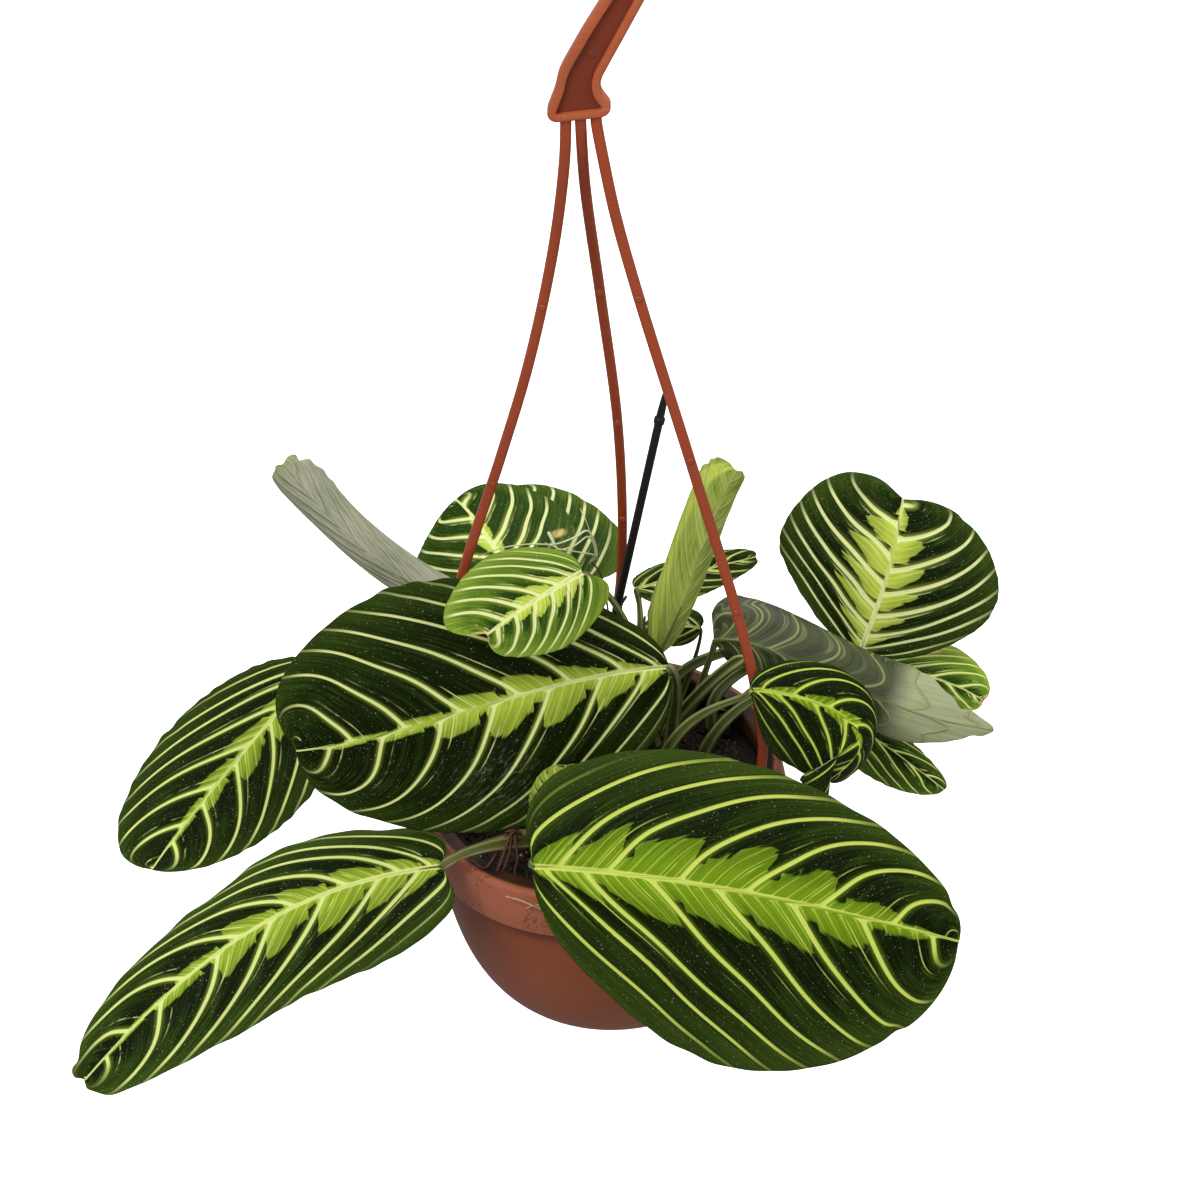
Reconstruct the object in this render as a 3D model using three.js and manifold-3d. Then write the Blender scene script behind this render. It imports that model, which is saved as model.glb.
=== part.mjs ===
// A prayer plant in a hanging bowl pot. Millimetres, +Z up, +X to the viewer's right, +Y away from
// the viewer. The origin is the point inside the hook where the object hangs.
import * as THREE from "three";
import { mergeVertices } from "three/addons/utils/BufferGeometryUtils.js";
import Module from "manifold-3d";

const wasm = await Module();
wasm.setup();

// Pot and soil, measured in the pot's own frame with its rim plane at height 0
const RIM_RADIUS = 77.5;
const LEDGE_WIDTH = 9;
const COLLAR_HEIGHT = 21;
const COLLAR_FLARE = 1.5;
const POT_HEIGHT = 103;
const BOWL_RADIUS = 75.4;
const BASE_RADIUS = 48;
const WALL = 2.2;
const RIM_ROUND = 1.4;
const POT_SIDES = 32;
const BOWL_STEPS = 8;
const DRAIN_HOLES = 6;
const DRAIN_RADIUS = 4;
const DRAIN_CIRCLE = 30;
const SOIL_DEPTH_BELOW_RIM = 13;
const SOIL_CROWN = 2;
const SOIL_LUMPS = 0.8;
const HOLE_MARGIN = 0.6;
const HOLE_SIDES = 8;
const CLEARANCE = 0.35;
const SOIL_GAP = 0.6;
const SOIL_SHRINK = 1.8;

// How the pot hangs: the heavier left side is lower
const POT_TILT = THREE.MathUtils.degToRad(-6.5);
const RIM_BELOW_HOOK = 385;

// Hanger: one moulding of a hook and three strands
const HOOK_CENTRE = [0, 372];
const HOOK_INNER = 13;
const HOOK_BAND = 12;
const HOOK_DEPTH = 6.4;
const WEB_DEPTH = 2.4;
const HOOK_WALL = 2.8;
const STRAND_RADIUS = 2.15;
const STRAND_SIDES = 8;
const STRAND_STEP = 15;
const STRAND_ANGLES = { left: 192, back: 84, right: -20 };
const STRAND_CIRCLE = RIM_RADIUS - 4.4;
const CLIP_RADIUS = 3.4;
const CLIP_SIDES = 12;
const COLLAR_TOP = 2;
const BARB_BELOW_RIM = 7;
const BARB_HALF = [1.4, 3.5];
const STRAND_ROUTES = {
  left: [[-12, 0, 303], [-12.6, 0, 287], [-17, 2, 251], [-27, 4, 201], [-39, 5, 157], [-54, 3, 108],
    [-65, -5, 66]],
  back: [[-6.8, 0, 303], [-5.5, 7, 275], [0, 25, 220], [7, 45, 150], [9.5, 60, 91], [9, 70, 50]],
  right: [[-1.4, 0, 303], [0.5, -2, 287], [4, -4, 268], [14, -8, 237], [34, -14, 170], [54, -21, 102],
    [62, -24, 69], [67, -25, 36]],
};

// Support stake
const STAKE_RADIUS = 1.8;
const STAKE_SIDES = 12;
const STAKE_FOOT = [-8.4, 30, -24];
const STAKE_TOP = [25.7, 30, 170.5];

// Leaves: every blade is a ribbon along its midrib and every stalk stands in its own hole in the soil
const BLADE = 0.8;
const RIB_RISE = 0.7;
const STALK_RADIUS = 1.25;
const SHEATH_RADIUS = 2.1;
const FOOT_DEPTH = 8;
const FOOT_RISE = 3;
const BLADE_ROWS = 10;
const BLADE_POINTS = 7;
const STALK_SIDES = 14;
const WIDEST = [0.46, 0.46];
const FULLNESS = 0.52;
const END_HALF = 1.2;
const RIB_SHARPNESS = 16;
const STALK_ROWS = 4;
const GREEN = 0x2f5a20;
const LIME = 0x93bd3a;
const SILVER = 0x8f9c86;

// foot: where the stalk enters the soil. stalk: two points it passes. rib: four points of the midrib,
// base to tip. half: greatest half widths, left and right as seen from base to tip. face: where the
// upper side looks at the base and at the tip. curl: degrees each half turns down from rib to margin.
// lobe: how far each margin runs back past the base, then on past the tip. widest: where along the rib
// each half is widest. wave: height, count and start of the margin's waves. across: points over a blade.
const LEAVES = [
  { name: "leaf_front_left", foot: [30, 4], stalk: [[31, 4, 20], [32, -4, 48]],
    rib: [[28, -14, 68], [-24, -26, 66], [-73, -34, 54], [-123, -38, 44]],
    half: [60, 57], face: [[0, -1, 0.35], [-0.15, -1, 0.25]], curl: [16, 14], lobe: [16, 12, 4, 34],
    widest: [0.45, 0.6], thick: 1.3, color: GREEN },
  { name: "leaf_front_right", foot: [-16, -42], stalk: [[-20, -53, 0], [-26, -63, 8]],
    rib: [[-27, -72, 12], [30, -80, 12], [88, -86, 3], [145, -86, -16]],
    half: [52, 78], face: [[0, -0.88, 0.5], [0.1, -0.85, 0.5]], curl: [16, 22], lobe: [14, 14, 0, 20],
    widest: [0.36, 0.56], color: GREEN },
  { name: "leaf_long_left", foot: [-20, -30], stalk: [[-32, -42, -1], [-50, -53, 4]],
    rib: [[-64, -60, 1], [-113, -74, -2], [-158, -98, -16], [-204, -132, -47]],
    half: [34, 28], face: [[0, -0.5, 0.85], [-0.3, -0.5, 0.8]], curl: [40, 34], lobe: [14, 12, 20, 24],
    widest: [0.5, 0.5], fullness: 0.42, wave: [3, 2.2, 0.2], color: GREEN },
  { name: "leaf_left", foot: [-30, 22], stalk: [[-50, 34, 28], [-92, 50, 34]],
    rib: [[-125, 50, 18], [-143, 30, 5], [-168, 2, -13], [-190, -34, -26]],
    half: [36, 40], face: [[-0.2, -0.5, 0.8], [-0.2, -0.6, 0.8]], curl: [20, 24], lobe: [14, 14, 0, 12],
    widest: [0.5, 0.6], color: GREEN },
  { name: "leaf_small_lime", foot: [16, 6], stalk: [[18, 4, 40], [10, -4, 84]],
    rib: [[-7, -14, 116], [-18, -22, 114], [-31, -32, 111], [-44, -40, 105]],
    half: [22, 27], face: [[0, -0.7, 0.7], [0, -0.7, 0.7]], curl: [25, 30], lobe: [26, 16, 14, 40],
    widest: [0.46, 0.6], color: LIME },
  { name: "leaf_right_up", foot: [30, 40], stalk: [[44, 50, 20], [84, 52, 28]],
    rib: [[114, 46, 29], [120, 52, 47], [126, 62, 65], [132, 83, 84]],
    half: [50, 51], face: [[0, -0.8, 0.6], [0, -0.7, 0.7]], curl: [20, 20], lobe: [14, 14, 36, 10],
    widest: [0.64, 0.6], fullness: 0.46, color: GREEN },
  { name: "leaf_rolled_right", foot: [38, 44], stalk: [[41, 43, 0], [46, 40, 22]],
    rib: [[50, 36, 43], [78, 20, 47], [116, 8, 34], [167, 2, 21]],
    half: [40, 40], face: [[0.1, 0.8, -0.4], [0, 0.8, -0.5]], curl: [-165, -150], lobe: [10, 10, 4, 14],
    widest: [0.36, 0.36], across: 9, color: SILVER },
  { name: "leaf_arching_dark", foot: [20, -12], stalk: [[34, -16, 36], [50, -30, 62]],
    rib: [[60, -38, 76], [88, -22, 56], [106, -24, 41], [94, -34, 25]],
    half: [20, 30], face: [[0, -0.6, 0.8], [0.8, -0.6, 0.1]], curl: [50, 40], lobe: [0, 6, 6, 6],
    widest: [0.6, 0.5], color: GREEN },
  { name: "leaf_new_rolled", foot: [24, 26], stalk: [[23, 26, 6], [24, 26, 25]],
    rib: [[24, 26, 43], [36, 30, 73], [45, 34, 102], [56, 40, 128]],
    half: [24, 26], face: [[-0.2, 1, 0], [-0.2, 1, 0.1]], curl: [-150, -170], lobe: [3, 3, 6, 14],
    widest: [0.6, 0.6], across: 9, color: LIME },
  { name: "leaf_silver_rolled", foot: [-12, 28], stalk: [[-20, 28, 20], [-38, 20, 54]],
    rib: [[-62, 16, 77], [-88, 26, 89], [-110, 34, 107], [-130, 42, 130]],
    half: [22, 24], face: [[0, 0.8, -0.4], [0, 0.8, -0.4]], curl: [-150, -170], lobe: [4, 4, 14, 14],
    widest: [0.42, 0.42], across: 9, color: SILVER },
  { name: "leaf_back_left", foot: [4, 36], stalk: [[0, 42, 30], [-16, 42, 58]],
    rib: [[-34, 50, 69], [-45, 72, 64], [-54, 92, 64], [-65, 110, 65]],
    half: [36, 38], face: [[0, -0.3, 1], [0, -0.5, 0.9]], curl: [20, 10], lobe: [12, 12, 0, 6],
    color: GREEN },
  { name: "leaf_back", foot: [0, 48], stalk: [[0, 54, 20], [-6, 60, 40]],
    rib: [[-15, 66, 50], [-25, 88, 50], [-35, 112, 51], [-45, 138, 51]],
    half: [30, 43], face: [[0.1, -0.3, 1], [0, -0.5, 0.9]], curl: [10, 30], lobe: [12, 12, 4, 4],
    color: GREEN },
  { name: "leaf_back_low", foot: [16, 54], stalk: [[17, 62, 8], [18, 72, 24]],
    rib: [[16, 82, 36], [31, 87, 37], [49, 90, 41], [70, 92, 46]],
    half: [12, 12], face: [[0, -0.3, 1], [0, -0.3, 1]], curl: [20, 20], lobe: [4, 4, 8, 8], across: 5,
    color: GREEN },
  { name: "leaf_tucked", foot: [34, 46], stalk: [[38, 50, 6], [43, 55, 22]],
    rib: [[44, 57, 33], [37, 60, 32], [29, 63, 30], [20, 66, 27]],
    half: [10, 10], face: [[0, -0.5, 1], [0, -0.5, 1]], curl: [20, 20], lobe: [4, 4, 2, 2], across: 5,
    color: GREEN },
  { name: "leaf_right_under", foot: [50, 34], stalk: [[60, 45, 16], [92, 60, 17]],
    rib: [[122, 62, 8], [138, 56, 9], [154, 47, 10], [169, 38, 7]],
    half: [21, 16], face: [[0, -0.4, 0.9], [0.2, -0.5, 0.8]], curl: [20, 20], lobe: [8, 8, 6, 6], across: 5,
    color: GREEN },
  { name: "leaf_right_low", foot: [46, 18], stalk: [[60, 24, 14], [80, 31, 20]],
    rib: [[98, 32, 12], [115, 26, 1], [133, 16, -8], [149, 2, -13]],
    half: [11, 16], face: [[0, -0.5, 0.9], [0.3, -0.5, 0.8]], curl: [20, 20], lobe: [8, 8, 4, 4], across: 5,
    color: GREEN },
  { name: "leaf_new_front", foot: [-1, -33], stalk: [[-5, -38, -7], [-9, -42, -6]],
    rib: [[-12, -44, -4], [-12, -44, 13], [-13, -42, 27], [-14, -40, 38]],
    half: [17, 17], face: [[0, -1, 0.3], [0, -1, 0.3]], curl: [16, 16], lobe: [6, 6, 4, 4], across: 5,
    color: LIME },
];

// Stalks without a blade: a cut leaf stalk and a pointed bract
const STALKS = [
  { name: "stalk_cut", foot: [30, 30], path: [[35, 29, 6], [47, 26, 26], [60, 22, 43]], radius: [2.6, 2.4] },
  { name: "bract", foot: [16, 20], path: [[17, 22, 12], [18, 26, 38], [19, 30, 60]], radius: [2.2, 0.5] },
];

// A point on the cubic through four points, at t from 0 to 1.
function cubicThrough(points, t) {
  const nodes = [0, 1 / 3, 2 / 3, 1];
  const point = new THREE.Vector3();
  nodes.forEach((a, i) => {
    let weight = 1;
    nodes.forEach((b, j) => {
      if (j !== i) weight *= (t - b) / (a - b);
    });
    point.addScaledVector(new THREE.Vector3(...points[i]), weight);
  });
  return point;
}

// Half width of a blade at u along its rib, as a share of its greatest half width.
function bladeShape(u, widest, fullness) {
  const power = Math.log(0.5) / Math.log(widest);
  return Math.pow(Math.max(Math.sin(Math.PI * Math.pow(u, power)), 0), fullness);
}

function soilHeight(x) {
  return -SOIL_DEPTH_BELOW_RIM - Math.tan(POT_TILT) * x + 0.5;
}

// The stations of a leaf from the foot of its stalk to the tip of its blade.
function leafStations(leaf) {
  const [fx, fy] = leaf.foot;
  const soil = soilHeight(fx);
  const thick = leaf.thick || 1;
  const stations = [{ p: new THREE.Vector3(fx, fy, soil - FOOT_DEPTH), r: SHEATH_RADIUS * thick }];
  const rise = [fx, fy, soil + FOOT_RISE];
  const stalk = [rise, ...leaf.stalk, leaf.rib[0]];
  for (let i = 0; i < STALK_ROWS; i++) {
    const t = i / STALK_ROWS;
    stations.push({
      p: cubicThrough(stalk, t),
      r: THREE.MathUtils.lerp(SHEATH_RADIUS, STALK_RADIUS, Math.sqrt(t)) * thick,
    });
  }
  for (let i = 0; i <= BLADE_ROWS; i++) {
    const u = (1 - Math.cos((Math.PI * i) / BLADE_ROWS)) / 2;
    stations.push({ p: cubicThrough(leaf.rib, u), u });
  }
  return stations;
}

// Along, side and normal directions at every station. facing gives the normal where the station's u is
// known, and the last one, and the rest of the stalk carries it back without twist.
function leafFrames(stations, facing) {
  const last = stations.length - 1;
  const along = stations.map((s, i) =>
    stations[Math.min(i + 1, last)].p.clone().sub(stations[Math.max(i - 1, 0)].p).normalize());
  const frames = [];
  for (let i = last; i >= 0; i--) {
    const { u } = stations[i];
    const wanted = u === undefined && i < last ? frames[i + 1].n : facing(u);
    const n = wanted.clone().addScaledVector(along[i], -wanted.dot(along[i])).normalize();
    frames[i] = { t: along[i], n, s: along[i].clone().cross(n) };
  }
  return frames;
}

function stalkRing({ p, r }, { n, s }, sides) {
  const ring = [];
  for (let k = 0; k < sides; k++) {
    const a = Math.PI - (2 * Math.PI * (k + 0.5)) / sides;
    ring.push(p.clone().addScaledVector(s, r * Math.cos(a)).addScaledVector(n, r * Math.sin(a)));
  }
  return ring;
}

// A thin arched section across the blade.
function bladeRing(leaf, { p, u }, { t, n, s }) {
  const ring = [];
  const across = leaf.across || BLADE_POINTS;
  const widest = leaf.widest || WIDEST;
  const [amp, count, phase] = leaf.wave || [0, 1, 0];
  const face = (top) => {
    for (let k = 0; k < across; k++) {
      const v = (2 * k) / (across - 1) - 1;
      const w = top ? v : -v;
      const side = w < 0 ? 0 : 1;
      const sign = w < 0 ? -1 : 1;
      const shape = bladeShape(u, widest[side], leaf.fullness || FULLNESS);
      const reach = Math.max(leaf.half[side] * shape, END_HALF) * Math.abs(w);
      const turn = THREE.MathUtils.degToRad(leaf.curl[side]) / leaf.half[side];
      const angle = turn * reach;
      const out = Math.sin(angle) / turn;
      const drop = (1 - Math.cos(angle)) / turn;
      const wave = amp * w * w * shape * Math.sin(2 * Math.PI * (count * u + phase + 0.25 * side));
      const lobe = leaf.lobe[2 + side] * Math.pow(u, 6) - leaf.lobe[side] * Math.pow(1 - u, 6);
      const skin = n.clone().multiplyScalar(Math.cos(angle)).addScaledVector(s, sign * Math.sin(angle));
      const rib = top ? 0 : RIB_RISE * Math.exp(-RIB_SHARPNESS * w * w) * (1 - 0.7 * u);
      const half = (top ? 1 : -1) * (BLADE / 2 + rib);
      ring.push(p.clone().addScaledVector(s, sign * out).addScaledVector(n, wave - drop)
        .addScaledVector(t, lobe * w * w * shape).addScaledVector(skin, half));
    }
  };
  face(true);
  face(false);
  return ring;
}

// Joins rings of equal count into one closed skin, with flat ends. On a blade the upper and lower faces
// are split along the same diagonals.
function skinRings(rings) {
  const count = rings[0].length;
  const positions = [];
  const index = [];
  rings.forEach((ring) => ring.forEach((p) => positions.push(p.x, p.y, p.z)));
  for (let i = 0; i + 1 < rings.length; i++) {
    for (let k = 0; k < count; k++) {
      const next = (k + 1) % count;
      const a = i * count + k;
      const b = i * count + next;
      const c = a + count;
      const d = b + count;
      if (k < count / 2) index.push(a, b, c, b, d, c);
      else index.push(a, d, c, a, b, d);
    }
  }
  const end = (rings.length - 1) * count;
  for (let k = 0; k + 1 < count / 2; k++) {
    const back = count - 1 - k;
    index.push(k, back, k + 1, k + 1, back, back - 1);
    index.push(end + k, end + k + 1, end + back, end + k + 1, end + back - 1, end + back);
  }
  const geometry = new THREE.BufferGeometry();
  geometry.setAttribute("position", new THREE.Float32BufferAttribute(positions, 3));
  geometry.setIndex(index);
  geometry.computeVertexNormals();
  return geometry;
}

function leafGeometry(leaf) {
  const stations = leafStations(leaf);
  const [base, tip] = leaf.face.map((way) => new THREE.Vector3(...way));
  const frames = leafFrames(stations, (u) => base.clone().lerp(tip, u));
  const sides = 2 * (leaf.across || BLADE_POINTS);
  return skinRings(stations.map((station, i) => (station.u === undefined
    ? stalkRing(station, frames[i], sides)
    : bladeRing(leaf, station, frames[i]))));
}

// Changes between three.js geometry and manifold solids.
function toSolid(geometry) {
  const bare = geometry.clone();
  bare.deleteAttribute("normal");
  bare.deleteAttribute("uv");
  const merged = mergeVertices(bare, 1e-4);
  return new wasm.Manifold(new wasm.Mesh({
    numProp: 3,
    vertProperties: new Float32Array(merged.attributes.position.array),
    triVerts: new Uint32Array(merged.index.array),
  }));
}

function toGeometry(solid) {
  const made = solid.getMesh();
  const geometry = new THREE.BufferGeometry();
  geometry.setAttribute("position", new THREE.BufferAttribute(new Float32Array(made.vertProperties), 3));
  geometry.setIndex(new THREE.BufferAttribute(new Uint32Array(made.triVerts), 1));
  geometry.computeVertexNormals();
  return geometry;
}

function cylinderBetween(from, to, radius, sides) {
  const a = new THREE.Vector3(...from);
  const b = new THREE.Vector3(...to);
  const geometry = new THREE.CylinderGeometry(radius, radius, a.distanceTo(b), sides);
  geometry.applyQuaternion(new THREE.Quaternion().setFromUnitVectors(
    new THREE.Vector3(0, 1, 0), b.clone().sub(a).normalize()));
  const middle = a.add(b).multiplyScalar(0.5);
  return geometry.translate(middle.x, middle.y, middle.z);
}

function tilted(geometry) {
  return geometry.applyMatrix4(new THREE.Matrix4().makeRotationY(POT_TILT));
}

// Outer radius of the bowl at a height: full sides below the collar, and a neck behind it for the clips.
function bowlRadius(z) {
  const s = Math.min((z + POT_HEIGHT) / (POT_HEIGHT - COLLAR_HEIGHT), 1);
  const neck = THREE.MathUtils.smoothstep(z, -COLLAR_HEIGHT, -LEDGE_WIDTH);
  return BASE_RADIUS + (BOWL_RADIUS - BASE_RADIUS) * Math.pow(1 - Math.pow(1 - s, 3), 0.5)
    - neck * (BOWL_RADIUS - RIM_RADIUS + LEDGE_WIDTH - WALL);
}

// The bowl's outline moved in and up by an offset, from its floor to just under the ledge.
function bowlProfile(offset) {
  const points = [];
  for (let i = 0; i <= BOWL_STEPS; i++) {
    const z = THREE.MathUtils.lerp(-POT_HEIGHT + offset, -LEDGE_WIDTH, Math.pow(i / BOWL_STEPS, 1.25));
    points.push([bowlRadius(z - offset) - offset, z]);
  }
  return points;
}

function lathe(profile) {
  const points = profile.map(([r, z]) => new THREE.Vector2(r, z));
  return new THREE.LatheGeometry(points, POT_SIDES).rotateX(Math.PI / 2);
}

function potSolid() {
  const skirt = RIM_RADIUS + COLLAR_FLARE;
  const inner = RIM_RADIUS - LEDGE_WIDTH;
  const profile = [
    [0, -POT_HEIGHT],
    ...bowlProfile(0),
    [inner + WALL, -WALL],
    [RIM_RADIUS - WALL, -WALL],
    [skirt - WALL, -COLLAR_HEIGHT],
    [skirt, -COLLAR_HEIGHT],
    [RIM_RADIUS, -RIM_ROUND],
    [RIM_RADIUS - RIM_ROUND, 0],
    [inner + RIM_ROUND, 0],
    [inner, -RIM_ROUND],
    ...bowlProfile(WALL).reverse(),
    [0, -POT_HEIGHT + WALL],
  ];
  let solid = toSolid(lathe(profile));
  for (let i = 0; i < DRAIN_HOLES; i++) {
    const a = (2 * Math.PI * i) / DRAIN_HOLES;
    const x = DRAIN_CIRCLE * Math.cos(a);
    const y = DRAIN_CIRCLE * Math.sin(a);
    const hole = cylinderBetween([x, y, -POT_HEIGHT - 2], [x, y, -POT_HEIGHT + WALL + 2], DRAIN_RADIUS, 12);
    solid = solid.subtract(toSolid(hole));
  }
  for (const degrees of Object.values(STRAND_ANGLES)) {
    const a = THREE.MathUtils.degToRad(degrees);
    const x = STRAND_CIRCLE * Math.cos(a);
    const y = STRAND_CIRCLE * Math.sin(a);
    const hole = cylinderBetween([x, y, -WALL - 1.5], [x, y, 2], STRAND_RADIUS + 0.6, 12);
    solid = solid.subtract(toSolid(hole));
  }
  return solid;
}

// A stalk without a blade, from its foot in the soil to its cut or pointed end.
function stalkGeometry(stalk) {
  const [fx, fy] = stalk.foot;
  const soil = soilHeight(fx);
  const route = [[fx, fy, soil + FOOT_RISE], ...stalk.path];
  const stations = [{ p: new THREE.Vector3(fx, fy, soil - FOOT_DEPTH), r: stalk.radius[0] }];
  for (let i = 0; i <= STALK_ROWS; i++) {
    const t = i / STALK_ROWS;
    stations.push({ p: cubicThrough(route, t), r: THREE.MathUtils.lerp(...stalk.radius, t) });
  }
  const frames = leafFrames(stations, () => new THREE.Vector3(0, -1, 0));
  return skinRings(stations.map((station, i) => stalkRing(station, frames[i], STALK_SIDES)));
}

function soilSolid() {
  const top = -SOIL_DEPTH_BELOW_RIM;
  const gap = WALL + SOIL_GAP;
  const wall = bowlProfile(gap).filter(([, z]) => z < top - 2);
  const edge = bowlRadius(top) - gap - SOIL_SHRINK;
  const surface = [1, 0.82, 0.6, 0.35].map((k) => [edge * k, top + SOIL_CROWN * (1 - k * k)]);
  const ground = lathe([[0, -POT_HEIGHT + gap], ...wall, ...surface, [0, top + SOIL_CROWN]]);
  const place = ground.attributes.position;
  for (let i = 0; i < place.count; i++) {
    const x = place.getX(i);
    const y = place.getY(i);
    const r = Math.hypot(x, y);
    if (place.getZ(i) < top - 0.5 || r > edge - 1) continue;
    const lumps = Math.sin(0.21 * x + 1.3) * Math.cos(0.19 * y) + 0.6 * Math.sin(0.37 * y - 0.31 * x);
    place.setZ(i, place.getZ(i) + SOIL_LUMPS * lumps);
  }
  let solid = toSolid(tilted(ground));
  for (const { foot, thick, radius } of [...LEAVES, ...STALKS]) {
    const [x, y] = foot;
    const level = soilHeight(x);
    const size = radius ? radius[0] : SHEATH_RADIUS * (thick || 1);
    const hole = cylinderBetween([x, y, level - FOOT_DEPTH - CLEARANCE], [x, y, level + 6],
      size + HOLE_MARGIN, HOLE_SIDES);
    solid = solid.subtract(toSolid(hole));
  }
  const way = new THREE.Vector3(...STAKE_TOP).sub(new THREE.Vector3(...STAKE_FOOT)).normalize();
  const low = new THREE.Vector3(...STAKE_FOOT).addScaledVector(way, -CLEARANCE);
  const high = new THREE.Vector3(...STAKE_FOOT).addScaledVector(way, 24);
  const socket = cylinderBetween(low.toArray(), high.toArray(), STAKE_RADIUS + HOLE_MARGIN, HOLE_SIDES);
  return solid.subtract(toSolid(socket));
}

// The hook's outline: a flared foot, a leaning shank and an arch that ends in a rounded tip.
function hookShape() {
  const [cx, cz] = HOOK_CENTRE;
  const outer = HOOK_INNER + HOOK_BAND;
  const middle = HOOK_INNER + HOOK_BAND / 2;
  const end = Math.PI + 0.45;
  const shape = new THREE.Shape();
  shape.moveTo(-16, 302.8);
  shape.lineTo(2, 305);
  shape.quadraticCurveTo(6, 308, 2.6, 311.5);
  shape.quadraticCurveTo(-1.5, 315, 1, 320.5);
  shape.lineTo(8, 334);
  shape.lineTo(18, 353.5);
  shape.quadraticCurveTo(24.5, 363, cx + outer, cz);
  shape.absarc(cx, cz, outer, 0, end, false);
  shape.absarc(cx + middle * Math.cos(end), cz + middle * Math.sin(end), HOOK_BAND / 2,
    end, end + Math.PI, false);
  shape.absarc(cx, cz, HOOK_INNER, end, -0.4, true);
  shape.quadraticCurveTo(8, 359, 0, 347);
  shape.lineTo(-6, 337);
  shape.lineTo(-12, 326);
  shape.quadraticCurveTo(-15, 321, -15.3, 316);
  shape.lineTo(-18.3, 308);
  shape.quadraticCurveTo(-20, 304, -16, 302.8);
  return shape;
}

// A closed outline moved inwards by a distance, corner by corner.
function insetOutline(points, distance) {
  return points.map((p, i) => {
    const before = points[(i + points.length - 1) % points.length];
    const after = points[(i + 1) % points.length];
    const a = p.clone().sub(before).normalize();
    const b = after.clone().sub(p).normalize();
    const turn = new THREE.Vector2(-(a.y + b.y), a.x + b.x).normalize();
    return p.clone().addScaledVector(turn, distance / Math.max(0.5, turn.dot(new THREE.Vector2(-a.y, a.x))));
  });
}

function plate(shape, depth) {
  return new THREE.ExtrudeGeometry(shape, { depth, bevelEnabled: false, curveSegments: 5 })
    .translate(0, 0, -depth / 2).rotateX(Math.PI / 2);
}

function hookSolid() {
  const outline = hookShape().getPoints(5);
  if (outline[0].distanceTo(outline[outline.length - 1]) < 1e-3) outline.pop();
  const clean = outline.filter((p, i) => i === 0 || p.distanceTo(outline[i - 1]) > 0.6);
  const wall = new THREE.Shape(clean);
  wall.holes.push(new THREE.Path(insetOutline(clean, HOOK_WALL)));
  return toSolid(plate(wall, HOOK_DEPTH)).add(toSolid(plate(new THREE.Shape(clean), WEB_DEPTH)));
}

// A point over the strand's hole in the pot's ledge, at a height above the rim plane.
function rimPoint(degrees, height) {
  const a = THREE.MathUtils.degToRad(degrees);
  const point = new THREE.Vector3(STRAND_CIRCLE * Math.cos(a), STRAND_CIRCLE * Math.sin(a), height);
  return point.applyAxisAngle(new THREE.Vector3(0, 1, 0), POT_TILT);
}

function strandSolid(side) {
  const degrees = STRAND_ANGLES[side];
  const points = STRAND_ROUTES[side].map((p) => new THREE.Vector3(...p));
  points.unshift(points[0].clone().setZ(points[0].z + 3));
  points.push(rimPoint(degrees, 12), rimPoint(degrees, -WALL - 1));
  const curve = new THREE.CatmullRomCurve3(points, false, "centripetal");
  const section = new THREE.Shape();
  for (let k = 0; k < STRAND_SIDES; k++) {
    const a = (2 * Math.PI * k) / STRAND_SIDES;
    const x = STRAND_RADIUS * Math.cos(a);
    const y = STRAND_RADIUS * Math.sin(a);
    if (k) section.lineTo(x, y);
    else section.moveTo(x, y);
  }
  const steps = Math.round(curve.getLength() / STRAND_STEP);
  const tube = new THREE.ExtrudeGeometry(section, { steps, extrudePath: curve });
  const at = (height) => rimPoint(degrees, height).toArray();
  const collar = cylinderBetween(at(CLEARANCE), at(COLLAR_TOP), CLIP_RADIUS, CLIP_SIDES);
  const barb = new THREE.CylinderGeometry(1, 0.4, BARB_BELOW_RIM - WALL - CLEARANCE, 4).rotateY(Math.PI / 4);
  barb.scale(BARB_HALF[0] * Math.SQRT2, 1, BARB_HALF[1] * Math.SQRT2).rotateX(Math.PI / 2);
  barb.translate(0, 0, -(BARB_BELOW_RIM + WALL + CLEARANCE) / 2);
  barb.rotateZ(THREE.MathUtils.degToRad(degrees)).translate(
    STRAND_CIRCLE * Math.cos(THREE.MathUtils.degToRad(degrees)),
    STRAND_CIRCLE * Math.sin(THREE.MathUtils.degToRad(degrees)), 0);
  return toSolid(tube).add(toSolid(collar)).add(toSolid(tilted(barb)));
}

function hangerSolid() {
  return Object.keys(STRAND_ROUTES).reduce((whole, side) => whole.add(strandSolid(side)), hookSolid());
}

const parts = new THREE.Group();

function addPart(name, geometry, color, roughness) {
  const mesh = new THREE.Mesh(geometry, new THREE.MeshStandardMaterial({ color, roughness, metalness: 0 }));
  mesh.name = name;
  parts.add(mesh);
  return mesh;
}

addPart("pot", tilted(toGeometry(potSolid())), 0x96452d, 0.45);
addPart("soil", toGeometry(soilSolid()), 0x241a15, 0.95);
addPart("hanger", toGeometry(hangerSolid()), 0xa5462d, 0.4);
addPart("stake", cylinderBetween(STAKE_FOOT, STAKE_TOP, STAKE_RADIUS, STAKE_SIDES), 0x14161a, 0.4);
LEAVES.forEach((leaf) => addPart(leaf.name, leafGeometry(leaf), leaf.color, 0.4));
STALKS.forEach((stalk) => addPart(stalk.name, stalkGeometry(stalk), 0x5d7a3a, 0.5));

parts.position.z = -RIM_BELOW_HOOK;
export default new THREE.Group().add(parts);
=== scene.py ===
"""A prayer plant in a hanging pot: leaves, soil, pot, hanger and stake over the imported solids."""
import math

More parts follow.
